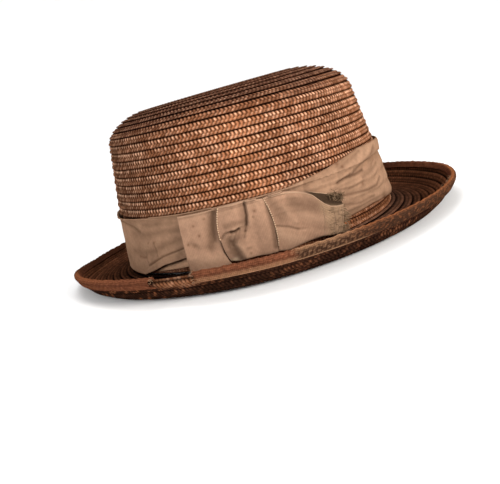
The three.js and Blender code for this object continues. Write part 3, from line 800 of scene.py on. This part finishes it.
def braid_shade(style, below_edge, beat, relief, strand, tone):
    """Painted shade of a braid's strands, relief, notches and the crevice under each row's edge, and the
    strength of its painted highlights.

    below_edge is the distance from a row's outer edge, and beat is 1 on each strand that crosses it.
    """
    # Painted shade in the crevice under the edge of the row above
    crevice_shade = 1 - smoothstep(below_edge + 0.5 * (beat - 0.5), 0.45, 1.0)
    highlight = bell(below_edge - HIGHLIGHTS_AT, 0.5) * lerp(strand, beat, style["highlights"]) ** 2
    low_highlight = 0.6 * bell(below_edge - LOW_HIGHLIGHTS_AT, 0.5) * (1 - beat) ** 2
    notch_shade = bell(below_edge - NOTCH_SHADE_AT, 0.6) * (1 - beat) ** 2 * style["highlights"]
    # Random tone of each strand, lighter with painted highlights and darker with painted shade in the notches
    tone_and_light = (0.75 + 0.5 * tone**1.5) * (1 + 0.5 * highlight) * (1 - 0.55 * notch_shade)
    # Painted shade in the valleys between strands and on the low parts of the relief
    shade = (0.08 + 0.92 * strand**1.4) * (0.5 + 0.5 * relief) * (1 - 0.93 * crevice_shade)
    shade = tone_and_light * lerp(shade, 0.85, 0.7 * highlight * style["highlights"])
    shade = shade * (1 + style["edge_light"] * bell(ROW_PITCH - 0.6 - below_edge, 0.6))
    return shade, highlight, low_highlight


def braid(name, style, turns, step, section, material, seed):
    """A strip of plaited straw sewn in a spiral. section says where its two faces have points across."""
    front, back = section
    turn, at = even_turns(style["place"], *turns, step)
    face = np.array(front + back)[None, :]
    is_front = (np.arange(face.shape[1]) < len(front))[None, :]
    relief, strand, tone = plait(at, face, seed)
    strand = lerp(strand, CALM_STRAND, style["calm"] * is_front)
    uneven = 0.22 * wobble(turn * 2 * math.pi, seed + 2, 6, 2.0)
    scallop = 0.28 * (relief - 0.4) * smoothstep(np.abs(face), 0.8, 1) * np.sign(face)
    across = (face - 1) / 2 * BRAID_WIDTH + scallop + uneven
    middle = style["tilt"] / 2 * np.maximum(face, LEAN_FROM) + style["lift"](turn)
    thick = BRAID_HALF_THICK + BRAID_RELIEF * (relief - 0.5) * (is_front | (len(back) > 2))
    points = style["place"](turn + 0 * face, across, middle + np.where(is_front, thick, -thick))
    below_edge = np.where(is_front, across, -across - BRAID_WIDTH) + ROW_PITCH
    beat = 0.5 + 0.5 * np.cos(2 * math.pi * at / PLAIT_PITCH + wobble(at / 7, seed + 3))
    shade, highlight, low_highlight = braid_shade(style, below_edge, beat, relief, strand, tone)
    height = points[..., 2]
    # Painted highlights fade in above the base and out over the shoulder; pale is how much of their colour a
    # point gets
    highlight = 0.85 * highlight * smoothstep(height, *HIGHLIGHTS_START) * (1 - 0.75 * smoothstep(height, *HIGHLIGHTS_FADE))
    pale = 0.75 * (highlight + low_highlight) * smoothstep(tone, -0.2, 0.7) * style["highlights"]
    tint = mix(style["paint"](points, is_front, tone), STRAW_HIGHLIGHT, pale) * shade[..., None]
    flat = points.reshape(-1, 3)
    faces = facing_out(flat, tube_faces(*points.shape[:2]))
    return new_mesh(name, flat, faces, material, tint.reshape(-1, 3))


CROWN_START = length_at_height(ROW_EDGE_HEIGHT) % ROW_PITCH + ROW_PITCH / 4


def crown_spiral(turn, across, off):
    return crown_place(360 * turn, np.minimum(ROW_PITCH * turn + CROWN_START, OUTLINE[0][-1]) + across, off)


def crown_turn_at(height):
    return (length_at_height(height) - CROWN_START) / ROW_PITCH


def crown_lift(turn):
    """The middle of the straw under the crown's outer line. It is drawn in under the band."""
    waist = crown_turn_at(WAIST_HEIGHT)
    return -STRAW_SINK - BAND_SINK * smoothstep(turn, waist - 0.6, waist)


def brim_spiral(turn, across, off):
    """Rows from the crown outwards. Shares that would lie inside the crown are pressed up to its edge."""
    angle = 360 * turn
    share = np.minimum(turn / BRIM_ROWS, 1) + across / ROW_PITCH / BRIM_ROWS - 0.5 / brim_reach(angle)
    pressed = ROOT_SHARE * np.exp(np.minimum(share - ROOT_SHARE, 0) / ROOT_SHARE)
    share = np.where(share < ROOT_SHARE, pressed, share)
    return brim_place(angle, share, off)


def crown_paint(points, is_front, tone):
    """Straw that is warm at the side of the front and darker at the back, partly its own tone and partly
    painted light and shade, with painted shade round the front, dust over the shoulder and a thin
    line of painted shade between the lowest rows.
    """
    x, y, z = np.moveaxis(points, -1, 0)
    angle = np.degrees(np.arctan2(y, x - CROWN_CENTRE_X))
    # Lighter and warmer towards the lit side, partly as painted light
    warm_lit = ramp(0.5 + 0.5 * np.cos(np.radians(angle - WARM_LIT_SIDE)), CROWN_TONES)
    # Painted shade round the front
    warm_lit *= 1 - FRONT_SHADE["depth"] * bell(angle - FRONT_SHADE["angle"], FRONT_SHADE["spread"])[..., None]
    patch = cloud(points, 26, 3)
    dusty = smoothstep(z + 3 * patch, *DUST_HEIGHTS)
    peachy = 0.5 * smoothstep(cloud(points, 12, 4) + tone, 0.4, 1.8) * (1 - dusty)
    base = mix(mix(warm_lit, STRAW_TIP, dusty), STRAW_PEACH, peachy)
    # Patchy tone, and a thin line of painted shade between the two lowest rows
    base *= ((1 + 0.14 * patch) * (1 - 0.8 * bell(z - 10.0, 0.4)))[..., None]
    return mix(base, STRAW_INSIDE, np.where(is_front, 0.0, 0.6))


def brim_paint(points, is_front, tone):
    """Straw darker than the crown's, with painted shade that makes it nearly black beside the crown but
    for painted light at the side of the front, painted shade underneath and painted highlights as
    specks there.
    """
    x, y, z = np.moveaxis(points, -1, 0)
    out = np.hypot((x - BRIM_CENTRE_X) / REST_LENGTH, y / REST_WIDTH)
    angle = np.degrees(np.arctan2(y, x))
    patch = cloud(points, 30, 8)
    # Painted shade makes the straw nearly black beside the crown, but for painted light at the side of the
    # front
    root = mix(SHADE_NEAR_BLACK, BRIM_LIT_ROOT, bell(angle + 55, 28))
    base = ramp(out + 0.03 * patch, BRIM_TONES)
    base += root * (1 - smoothstep(out + 0.03 * patch, 0.75, 0.95))[..., None]
    # Painted shade on the underside
    base = mix(base, BRIM_UNDER_SHADE, np.where(is_front, 0.0, 0.9))
    torn = between(angle, (TORN_FROM - 3, TORN_FROM), (TORN_TO - 2, TORN_TO + 1))
    torn = torn * smoothstep(out, 1.0, 1.08) * smoothstep(z, 9, 11)
    # Bare straw where the binding is torn away, with flecks of painted highlight
    base = mix(base, mix(0.5 * STRAW_FRONT, STRAW_HIGHLIGHT, 0.3 * tone**2), torn)
    # Painted highlights as light specks on the underside
    glint_speck = smoothstep(tone + 0.2 * cloud(points, 2.5, 9), 0.75, 0.95) * (~is_front)
    glint_speck = glint_speck * (0.25 + 0.4 * bell(angle + 138, 10))
    return mix(base, STRAW_SIDE, glint_speck) * (1 + 0.15 * patch)[..., None]


# How each braid lies, and the tilt of its rows, calm of its strands, painted highlights and painted
# light on its edge
CROWN_STYLE = {"place": crown_spiral, "lift": crown_lift, "paint": crown_paint}
CROWN_STYLE |= {"tilt": 1.1, "calm": 0, "highlights": 1, "edge_light": 0}
BRIM_STYLE = {"place": brim_spiral, "lift": np.zeros_like, "paint": brim_paint}
BRIM_STYLE |= {"tilt": 1.2, "calm": 0.6, "highlights": 0, "edge_light": 0.9}


def make_straw():
    """Lengths of braid: the turns that each takes, its step, its points across and its seed."""
    last = (OUTLINE[0][-1] - CROWN_START) / ROW_PITCH
    tip, shoulder, waist = (crown_turn_at(height) for height in CROWN_JOINS)
    hidden = last - ROWS_SEEN_AT_BASE
    crown = (
        ("crown_tip_braid", (-0.2, tip), 0.6, FINE, 21),
        ("crown_shoulder_braid", (tip, shoulder), 0.55, FINE, 22),
        ("crown_side_braid", (shoulder, waist), 0.5, FINE, 23),
        ("crown_covered_braid", (waist, hidden), 2.2, PLAIN, 24),
        ("crown_base_braid", (hidden, last + 0.98), 0.95, FINE, 25),
    )
    brim = (
        ("brim_inner_braid", (0.25, 6.0), 0.9, TWO_SIDED, 31),
        ("brim_outer_braid", (6.0, BRIM_ROWS + 1.05), 0.68, TWO_SIDED, 32),
    )
    replaced = {"crown_side_braid": ["crown"], "brim_outer_braid": ["brim"]}
    for slot, style, lengths in (("crown_straw", CROWN_STYLE, crown), ("brim_straw", BRIM_STYLE, brim)):
        material = tinted_material(slot, STRAW_ROUGHNESS, straw_texture)
        for name, turns, step, section, seed in lengths:
            piece = braid(name, style, turns, step, section, material, seed)
            dress(piece, slot, *replaced.get(name, []))


# Ribbon band


def band_edges(angle):
    """Heights of the band's upper and lower edge."""
    at, tops, bottoms = zip(*BAND_EDGES)
    turned = np.mod(angle + 180, 360) - 180
    return np.interp(turned, at, tops), np.interp(turned, at, bottoms)


def clear_of_rows(height):
    return GAP + ROW_PROUD * smoothstep(height, WAIST_HEIGHT - 2, WAIST_HEIGHT)


def fold_height(angle, share):
    """How far the band's folds stand out. Each ridge rises slowly from above and drops steeply below."""
    total = 0 * angle * share
    for ridge in BAND_RIDGES:
        at, middles, heights = zip(*ridge)
        away = share - np.interp(angle, at, middles)
        height = np.interp(angle, at, heights, left=0, right=0)
        total = np.maximum(total, height * bell(away, np.where(away < 0, RIDGE_ABOVE, RIDGE_BELOW)))
    return total


def band_stroke(angle, share, points, width):
    """A stroke on the band through points given as angle and share, with its half width in millimetres."""
    line = [(at * BAND_ARC, depth * BAND_DEPTH) for at, depth in points]
    return stroke(angle * BAND_ARC, share * BAND_DEPTH, line, width)


def band_swell(angle, share):
    """How far the band without its creases is off the line that clears the crown's rows."""
    rim = BAND_RIM * smoothstep(share, 0, 0.02) * (1 - 0.6 * smoothstep(share, 0.05, 0.1))
    lift = BAND_LIFT["height"] * bell(angle - BAND_LIFT["angle"], BAND_LIFT["spread"]) * share**2
    roll = BAND_ROLL["height"] * bell(angle - BAND_ROLL["angle"], BAND_ROLL["spread"])
    roll = roll * bell(share - BAND_ROLL["share"], 0.05)
    return RIBBON + rim + lift + roll + fold_height(angle, share)


def band_points(angle, share):
    height = lerp(*band_edges(angle), share)
    ripple = BAND_RIPPLE * np.sin(angle * 0.21 + 9 * share) * np.sin(share * 5 + angle * 0.05)
    creases = sum(rise * band_stroke(angle, share, line, width) for line, width, rise, _ in BAND_CREASES)
    radius = side_radius(height) + clear_of_rows(height) + band_swell(angle, share) + creases + ripple
    return crown_point(angle, radius, height), height


def ribbon_paint(base, points, seed):
    """Faded, slightly patchy dye."""
    patches = cloud(points, 16, seed) + 0.6 * cloud(points, 5, seed + 1)
    return base * (1 + 0.1 * patches)[..., None]


def ribbon_uv(angle, height):
    return np.stack([angle * WEAVE_ARC + 0 * height, -height], -1)


def make_band(material):
    angle = steps(BAND_ANGLES)[:, None]
    share = np.append(steps(BAND_SHARES), 1)[None, :]
    points, height = band_points(angle, share)
    # Painted shade in the valleys between the folds
    valley = (1 - smoothstep(fold_height(angle, share), 0.1, 1.0)) * (angle > -74) * (angle < 5)
    tint = ribbon_paint(mix(BAND_CLOTH, BAND_SHADE, 0.5 * valley), points, 41)
    # Painted shade in the creases
    for line, width, _, dark in BAND_CREASES:
        tint = mix(tint, FOLD_SHADE, dark * band_stroke(angle, share, line, width))
    for spot_angle, spot_share, size, strength in BAND_SPOTS:
        away = np.hypot((angle - spot_angle) * BAND_ARC, (share - spot_share) * BAND_DEPTH)
        tint = mix(tint, STAIN, strength * bell(away, size))
    tint = mix(tint, STAIN, 0.45 * band_stroke(angle, share, RUST_STREAK, 0.5))
    # Painted shade along the top edge, under the straw rows
    tint = mix(tint, BAND_SHADE, 0.3 * bell(share, 0.02))
    piece = cloth("hat_band_ribbon", points, CLOTH, material, tint, ribbon_uv(angle, height), ring=0)
    dress(piece, "band_ribbon", "hat_band")


def make_under_fold(material):
    angle = np.linspace(UNDER_FOLD["from"], UNDER_FOLD["to"], 90)[:, None]
    share = np.linspace(0, 1, 12)[None, :]
    along = (angle - UNDER_FOLD["from"]) / (UNDER_FOLD["to"] - UNDER_FOLD["from"])
    bottom = lerp(UNDER_FOLD["bottom_from"], UNDER_FOLD["bottom_to"], along)
    band_bottom = band_edges(angle)[1]
    height = lerp(band_bottom + UNDER_FOLD["above"], bottom, share)
    off = GAP + THIN_CLOTH + 0.08 * np.sin(angle * 0.7 + share * 3)
    points = crown_point(angle, side_radius(height) + off, height)
    # Painted shadow under the band's edge, and painted light on the cloth below it
    lit = smoothstep(band_bottom - height, 0.4, 2.4)
    tint = ribbon_paint(mix(FOLD_SHADE * 0.4, LIT_UNDER_CLOTH, lit), points, 44)
    piece = cloth("band_under_ribbon", points, THIN_CLOTH, material, tint, ribbon_uv(angle, height))
    dress(piece, "band_ribbon", "band_under_fold")


# Ribbon bow


def bow_side_point(x, height, off_band):
    """A point over the band on the bow's side, given across and up, at a distance off the band."""
    oval = oval_at(height)
    angle = -np.degrees(np.arccos(x / (side_radius(height) + oval)))
    top, bottom = band_edges(angle)
    share = np.clip((top - height) / (top - bottom), 0.01, 1)
    mean = side_radius(height) + clear_of_rows(height) + band_swell(angle, share) + off_band
    y = -(mean - oval) * np.sqrt(1 - (x / (mean + oval)) ** 2)
    return np.stack([x + CROWN_LEAN * height + CROWN_CENTRE_X, y, height], -1)


def side_at(side, rise):
    """A smooth curve through the three points of a loop's side."""
    bottom, middle, top = side
    return middle + (top - bottom) / 2 * rise + ((top + bottom) / 2 - middle) * rise**2


def loop_at(turn):
    """How far forward and up a flat loop is, each from -1 to 1, at turns round it."""
    return power(np.cos(turn), 2 / LOOP_SQUARENESS), power(np.sin(turn), 2 / LOOP_SQUARENESS)


def loop_turns():
    """Turns round a flat loop at even steps along it, from the middle of its back."""
    turn = np.linspace(math.pi, 3 * math.pi, 40001)
    along = lengths_along(np.stack(loop_at(turn), -1) * LOOP_SHAPE)
    at = np.arange(TAB_ROUND) / TAB_ROUND * along[-1]
    return np.interp(at, along, turn)[None, :], at[None, :]


def profile(share, at, values):
    """Values across a loop, read between the table's rows and rounded where they meet."""
    return sum(np.interp(share + shift, at, values) for shift in PROFILE_SHIFTS) / len(PROFILE_SHIFTS)


def tab_grid(tab):
    """Points of a flat ribbon loop, from its left side to its right and round from the middle of its back.

    Also their x and height, how much each is on the front, and their places on the flat ribbon.
    """
    at, tops, bottoms, offs, thicks = zip(*tab["across"])
    share = smoothstep(np.linspace(0, 1, TAB_ACROSS), -TAB_CROWDING, 1 + TAB_CROWDING)[:, None]
    share = (share - share[0]) / (share[-1] - share[0])
    turn, along = loop_turns()
    forward, rise = loop_at(turn)
    rise = -rise
    x = lerp(side_at(tab["left"], rise), side_at(tab["right"], rise), share)
    top, bottom = profile(share, at, tops) + 0 * x, profile(share, at, bottoms)
    mouth = 0
    if "front_rim" in tab:
        rim = np.minimum(top, np.interp(x, *zip(*tab["front_rim"])))
        top = lerp(top, rim, smoothstep(forward, -0.55, 0.7))
        mouth = MOUTH_DEPTH * bell(forward - 0.05, 0.3) * smoothstep(x, 25, 31) * (rise > 0)
    height = (top + bottom) / 2 + rise * (top - bottom) / 2 - mouth
    front = smoothstep(forward, 0, 0.8) + 0 * x
    off = TAB_GAP + profile(share, at, offs) + profile(share, at, thicks) / 2 * (1 + forward)
    off = off + front * sum(rise * stroke(x, height, line, width) for line, width, rise, _ in tab["marks"])
    uv = np.stack([along + 0 * x, x], -1)
    return bow_side_point(x, height, off), x, height, front, uv


def tab_paint(points, x, z, front, base, tab, seed):
    tint = ribbon_paint(base + 0 * points, points, seed)
    # Painted shade in the creases and painted highlights on the ridges
    for line, width, _, dark in tab["marks"]:
        tint = mix(tint, BOW_SHADE if dark > 0 else BOW_PALE, abs(dark) * stroke(x, z, line, width) * front)
    for spot_x, spot_z, size, strength in tab["spots"]:
        spot = bell(np.hypot(x - spot_x, z - spot_z), size) * front
        tint = mix(tint, STAIN if strength > 0 else BOW_TORN, abs(strength) * spot)
    # Painted highlights along the rolled top and bottom edges
    edge = bell(z - z.max(axis=1, keepdims=True), 0.8) + bell(z - z.min(axis=1, keepdims=True), 0.6)
    return mix(tint, BOW_PALE, np.clip(0.35 * edge, 0, 1))


def open_end_paint(tint, points, x, z, front):
    """The open end of the right loop: painted shade inside, and a loosened weave at the cut edge."""
    # Painted shade inside the open end
    inside = (1 - smoothstep(front, 0.85, 1)) * smoothstep(x, 20, 28)
    tint = mix(tint, BOW_INSIDE_SHADE, 0.95 * inside)
    squares = np.sin(x * 5.2 + 0.5 * np.sin(z)) * np.sin(z * 5.2 + 0.5 * np.sin(x))
    loose = smoothstep(x + 0.8 * cloud(points, 7, 59), 28, 33) * front
    return mix(tint, BOW_LOOSE * (1 + 0.25 * squares[..., None]), 0.75 * loose)


def make_tab(side, tab, material, base, seed):
    grid, x, z, front, uv = tab_grid(tab)
    tint = tab_paint(grid, x, z, front, base, tab, seed)
    if "front_rim" in tab:
        tint = open_end_paint(tint, grid, x, z, front)
    piece = cloth(f"bow_{side}_loop", grid, CLOTH, material, tint, uv, ring=1)
    dress(piece, "bow_ribbon", f"bow_{side}_tab")
    return grid


def front_turns():
    """Which points round a loop are on its front, from its top to its bottom."""
    return np.arange(TAB_TOP + 4, 3 * TAB_TOP - 4)


def make_picots(name, grid, lowest, material):
    """A row of small woven beads down a loop's left selvage to a height."""
    side = grid[0, front_turns()]
    side = side[side[:, 2] > lowest]
    lengths = lengths_along(side)
    even = np.arange(0, lengths[-1], PICOTS["step"])
    path = np.stack([np.interp(even, lengths, side[:, k]) for k in range(3)], -1)
    path[:, 1] -= 0.05
    radius = PICOTS["radius"] + PICOTS["swell"] * np.cos(even / PICOTS["pitch"] * 2 * math.pi)
    dress(tubes(name, [(path, radius, PICOT)], 8, material), "bow_ribbon")


def fray(tufts, lowest, rng):
    """Loose threads. A tuft has points to start from, a way, a count, a reach, a spread and a wander."""
    paths = []
    for starts, way, count, reach, spread, wander in tufts:
        for _ in range(count):
            point = np.array(starts[rng.integers(len(starts))], float)
            heading = unit(np.array(way) + rng.normal(size=3) * spread)
            steps = int(rng.integers(6, 13))
            length = reach * rng.uniform(0.4, 1.0)
            path = [point]
            for _ in range(steps):
                heading = unit(heading + rng.normal(size=3) * wander + np.array(DROOP))
                path.append(path[-1] + heading * length / steps)
            paths.append(np.maximum(path, [-np.inf, -np.inf, lowest]))
    return paths


def make_bow_threads(right, material):
    """Frayed threads of the right loop's end, where the cut ribbon has come apart."""
    rng = np.random.default_rng(61)
    front = right[-1, front_turns()]
    loose = right[TAB_ACROSS * 3 // 4 :, front_turns()].reshape(-1, 3) - np.array([0, 0.1, 0])
    back_rim = right[TAB_ACROSS * 4 // 5 :, TAB_TOP - 4]
    lump = right[TAB_ACROSS * 6 // 7 :, TAB_TOP - 12 : TAB_TOP - 3].reshape(-1, 3)
    pale = (
        (front[front[:, 2] < 21], (1, -0.12, -0.05), 70, 4.6, 0.14, 0.1),
        (front, (0.9, -0.2, -0.1), 50, 2.6, 0.3, 0.2),
        (loose, (1.0, -0.1, 0.1), 40, 4.0, 0.2, 0.1),
    )
    dark = (
        (back_rim, (0.6, -0.5, -0.5), 150, 5.0, 0.35, 0.5),
        (lump, (0.2, -1.0, -0.6), 130, 7.5, 0.3, 0.45),
    )
    lowest, radii = BOW_THREADS.values()
    paths = [(path, bias) for tufts, bias in ((pale, 0.5), (dark, 1.5)) for path in fray(tufts, lowest, rng)]
    threads = [(path, radii, mix(THREAD_DARK, THREAD_PALE, rng.random() ** bias)) for path, bias in paths]
    for share, width in ((0.7, 0.16), (0.84, 0.2), (0.9, 0.14), (0.96, 0.16)):
        line = right[int(share * TAB_ACROSS), front_turns()].copy()
        line[:, 0] += 0.25 * wobble(line[:, 2] / 2, int(share * 100))
        line[:, 1] -= 0.12
        threads.append((line, (width, width), BOW_PALE * 0.8))
    for turn, width in ((TAB_TOP + 6, 0.3), (TAB_TOP - 5, 0.28)):
        threads.append((right[TAB_ACROSS // 9 :, turn], (width, width), BOW_PALE))
    dress(tubes("bow_frayed_threads", threads, 4, material), "bow_ribbon")


def make_bow(material, thread):
    make_tab("left", LEFT_TAB, material, BOW_CLOTH, 51)
    middle = make_tab("middle", MIDDLE_TAB, material, BOW_CLOTH, 52)
    right = make_tab("right", RIGHT_TAB, material, BOW_RIBBED, 53)
    make_picots("bow_middle_picots", middle, 23, thread)
    make_picots("bow_right_picots", right, 13, thread)
    make_bow_threads(right, thread)


# Binding


def binding_points(angle, turn_share):
    """Points of the binding's outer face: down the top of the brim, round its edge and back underneath."""
    on_top = 1 - np.clip(turn_share / BINDING_LEG, 0, 1)
    below = np.clip((turn_share - 1 + BINDING_LEG) / BINDING_LEG, 0, 1)
    share = 1 - (BINDING_INNER * on_top + BINDING_OUTER * below) / brim_reach(angle)
    swing = np.clip((turn_share - BINDING_LEG) / (1 - 2 * BINDING_LEG), 0, 1)
    turn = math.pi / 2 - swing * math.pi
    up = read_table(BRIM_UP, angle, share)
    out = read_table(BRIM_POINTS, angle, 1 + 0 * share) - read_table(BRIM_POINTS, angle, 0.97 + 0 * share)
    off = np.sin(turn)[..., None] * up + np.cos(turn)[..., None] * unit(out)
    return read_table(BRIM_POINTS, angle, share) + BINDING_OFF * off


def binding_paint(points, angle, turn_share):
    """Worn dye: reddish brown to the left of the bow, tan from there to the front, a painted highlight
    on its crest and painted shade beside it, and painted shade along its top edge, in a strip
    underneath and on the far side.
    """
    rub = cloud(points, 3.2, 71) + 0.6 * cloud(points, 1.6, 72)
    turned = np.mod(angle + 180, 360) - 180
    past_bow = smoothstep(turned, -76, -66)
    right = smoothstep(turned + 0.8 * rub, -88, -86) * (1 - smoothstep(turned, -12, 10))
    tint = BINDING_DYE * (1 + 0.22 * rub + 0.1 * cloud(points, 15, 73))[..., None]
    worn = mix(BINDING_WORN, BINDING_CREST, past_bow)
    # The crest takes a painted highlight, and the fold beside it painted shade
    crest = bell(turn_share - BINDING_CREST_AT, lerp(0.09, 0.06, past_bow))
    low = mix(BINDING_SHADED, worn, 0.4 * smoothstep(rub, 0.0, 0.8))
    low = mix(low, BINDING_TOP, 0.8 * (1 - smoothstep(turn_share, 0.3, 0.36)))
    tint = mix(tint, BINDING_WORN, 0.5 * (turned > -116) * smoothstep(turn_share, 0.7, 0.85))
    tint = mix(tint, mix(low, worn, crest), right)
    # A weaker painted highlight on the crest to the left of the bow
    left = (1 - smoothstep(turned, -150, -128)) * bell(turn_share - BINDING_CREST_AT, 0.12)
    tint = mix(tint, BINDING_CREST, 0.45 * left)
    lower = between(turned, (-112, -102), (-72, -64)) * bell(turn_share - 0.98, 0.025)
    tint = mix(tint, BINDING_PALE, 0.8 * lower)
    # Painted shade along the top edge against the straw, in a strip underneath, and on the far side
    strip_shade = 0.6 * bell(turn_share, 0.05) + 0.3 * (1 - right) * bell(turn_share - 0.72, 0.05)
    far = smoothstep(turned, 10, 40) + (1 - smoothstep(turned, -178, -165))
    return mix(tint, SHADE_NEAR_BLACK, np.maximum(strip_shade, 0.6 * np.minimum(far, 1)))


def make_binding(material):
    turn_share = np.linspace(0, 1, 30)[None, :]
    ragged = 0.9 * wobble(turn_share * 9, 75) + 0.4 * wobble(turn_share * 31, 76)
    start, end = TORN_TO + ragged, TORN_FROM + 360 - 1.3 * ragged
    angle = lerp(start, end, np.linspace(0, 1, 840)[:, None])
    turn_share = turn_share + 0 * angle
    points = binding_points(angle, turn_share)
    turned = np.radians(angle)
    pucker = np.sin(turned * 150 + 3 * np.sin(turned * 11)) + 0.6 * wobble(turned * 60, 77)
    pucker = PUCKER * (pucker + 0.5 * cloud(points, 5, 78)) * np.sin(turn_share * math.pi)
    points[..., 2] = np.maximum(points[..., 2] + pucker, BINDING_CLEAR)
    tint = binding_paint(points, angle, turn_share)
    uv = np.stack([angle * BINDING_ARC, turn_share * BINDING_WIDTH], -1)
    piece = cloth("edge_binding_ribbon", points, CLOTH, material, tint, uv)
    dress(piece, "binding_ribbon", "edge_binding")


def make_binding_threads(material):
    """Threads at the binding's torn ends and along a worn stretch."""
    rng = np.random.default_rng(81)
    ends = [binding_points(np.full(9, angle), np.linspace(0.1, 0.9, 9)) for angle in (TORN_FROM, TORN_TO)]
    worn = binding_points(np.linspace(-36, -22, 20), np.full(20, 0.3))
    tufts = (
        (ends[0], (0.8, -0.5, 0.1), 9, 3.5, 0.5, 0.35),
        (ends[1], (-0.8, -0.5, 0.1), 16, 3.5, 0.5, 0.35),
        (worn, (0.2, -0.3, 0.8), 50, 2.6, 0.6, 0.35),
    )
    lowest, radii = BINDING_THREADS.values()
    paths = fray(tufts, lowest, rng)
    threads = [(path, radii, mix(BINDING_DYE, THREAD_PALE, rng.random())) for path in paths]
    dress(tubes("binding_frayed_threads", threads, 4, material), "binding_ribbon")


# Stage


def make_floor():
    """A pale floor that curves up far away on all sides."""
    radii, heights = np.array(FLOOR_RADII), np.array(FLOOR_HEIGHTS)
    angle = np.linspace(0, 2 * math.pi, 97)[:-1, None]
    points = np.stack([radii * np.cos(angle), radii * np.sin(angle), heights + 0 * angle], -1).reshape(-1, 3)
    material = bpy.data.materials.new("paper")
    material.use_nodes = True
    grey = {"Base Color": (FLOOR_GREY, FLOOR_GREY, FLOOR_GREY, 1), "Roughness": FLOOR_ROUGHNESS}
    set_inputs(material.node_tree.nodes["Principled BSDF"], grey)
    faces = grid_faces(len(angle), len(radii), True, False)[:, [0, 3, 2, 1]]
    new_mesh("floor", points, faces, material, np.full(points.shape, FLOOR_GREY))


def make_camera():
    data = bpy.data.cameras.new("camera")
    data.sensor_width = SENSOR
    data.lens = PIXELS_PER_RADIAN / PHOTO_SIZE[0] * SENSOR
    data.shift_x = (PHOTO_SIZE[0] / 2 - VIEW_CENTRE[0]) / PHOTO_SIZE[0]
    data.shift_y = (VIEW_CENTRE[1] - PHOTO_SIZE[1] / 2) / PHOTO_SIZE[0]
    data.clip_start, data.clip_end = 0.01, 20
    camera = bpy.data.objects.new("camera", data)
    camera.matrix_world = Matrix.Translation(Vector(CAMERA_AIM) * MM)
    for degrees, axis in ((CAMERA_AZIMUTH, "Z"), (90 - CAMERA_ELEVATION, "X"), (CAMERA_ROLL, "Z")):
        camera.matrix_world @= Matrix.Rotation(math.radians(degrees), 4, axis)
    camera.matrix_world @= Matrix.Translation((0, 0, CAMERA_DISTANCE * MM))
    bpy.context.scene.collection.objects.link(camera)
    bpy.context.scene.camera = camera


def make_lights():
    for name, place, size, watts, tone in LIGHTS:
        data = bpy.data.lights.new(name, "AREA")
        data.shape = "DISK"
        data.size = size
        data.energy = watts
        data.color = tone
        lamp = bpy.data.objects.new(name, data)
        lamp.location = place
        aim = Vector(LIGHTS_AIM) - Vector(place)
        lamp.rotation_euler = aim.to_track_quat("-Z", "Y").to_euler()
        bpy.context.scene.collection.objects.link(lamp)
    world = bpy.data.worlds.new("world")
    world.use_nodes = True
    set_inputs(world.node_tree.nodes["Background"], {"Color": (1, 1, 1, 1), "Strength": WORLD_STRENGTH})
    bpy.context.scene.world = world
    bpy.context.scene.view_settings.view_transform = "Standard"


def main():
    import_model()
    make_camera()
    make_lights()
    make_floor()
    make_straw()
    band, bow, binding = (
        tinted_material(f"{name}_ribbon", RIBBON_ROUGHNESS, ribbon_texture, **weave)
        for name, weave in RIBBON_WEAVES.items()
    )
    thread = tinted_material("thread", THREAD_ROUGHNESS)
    make_band(band)
    make_under_fold(band)
    make_bow(bow, thread)
    make_binding(binding)
    make_binding_threads(thread)


main()
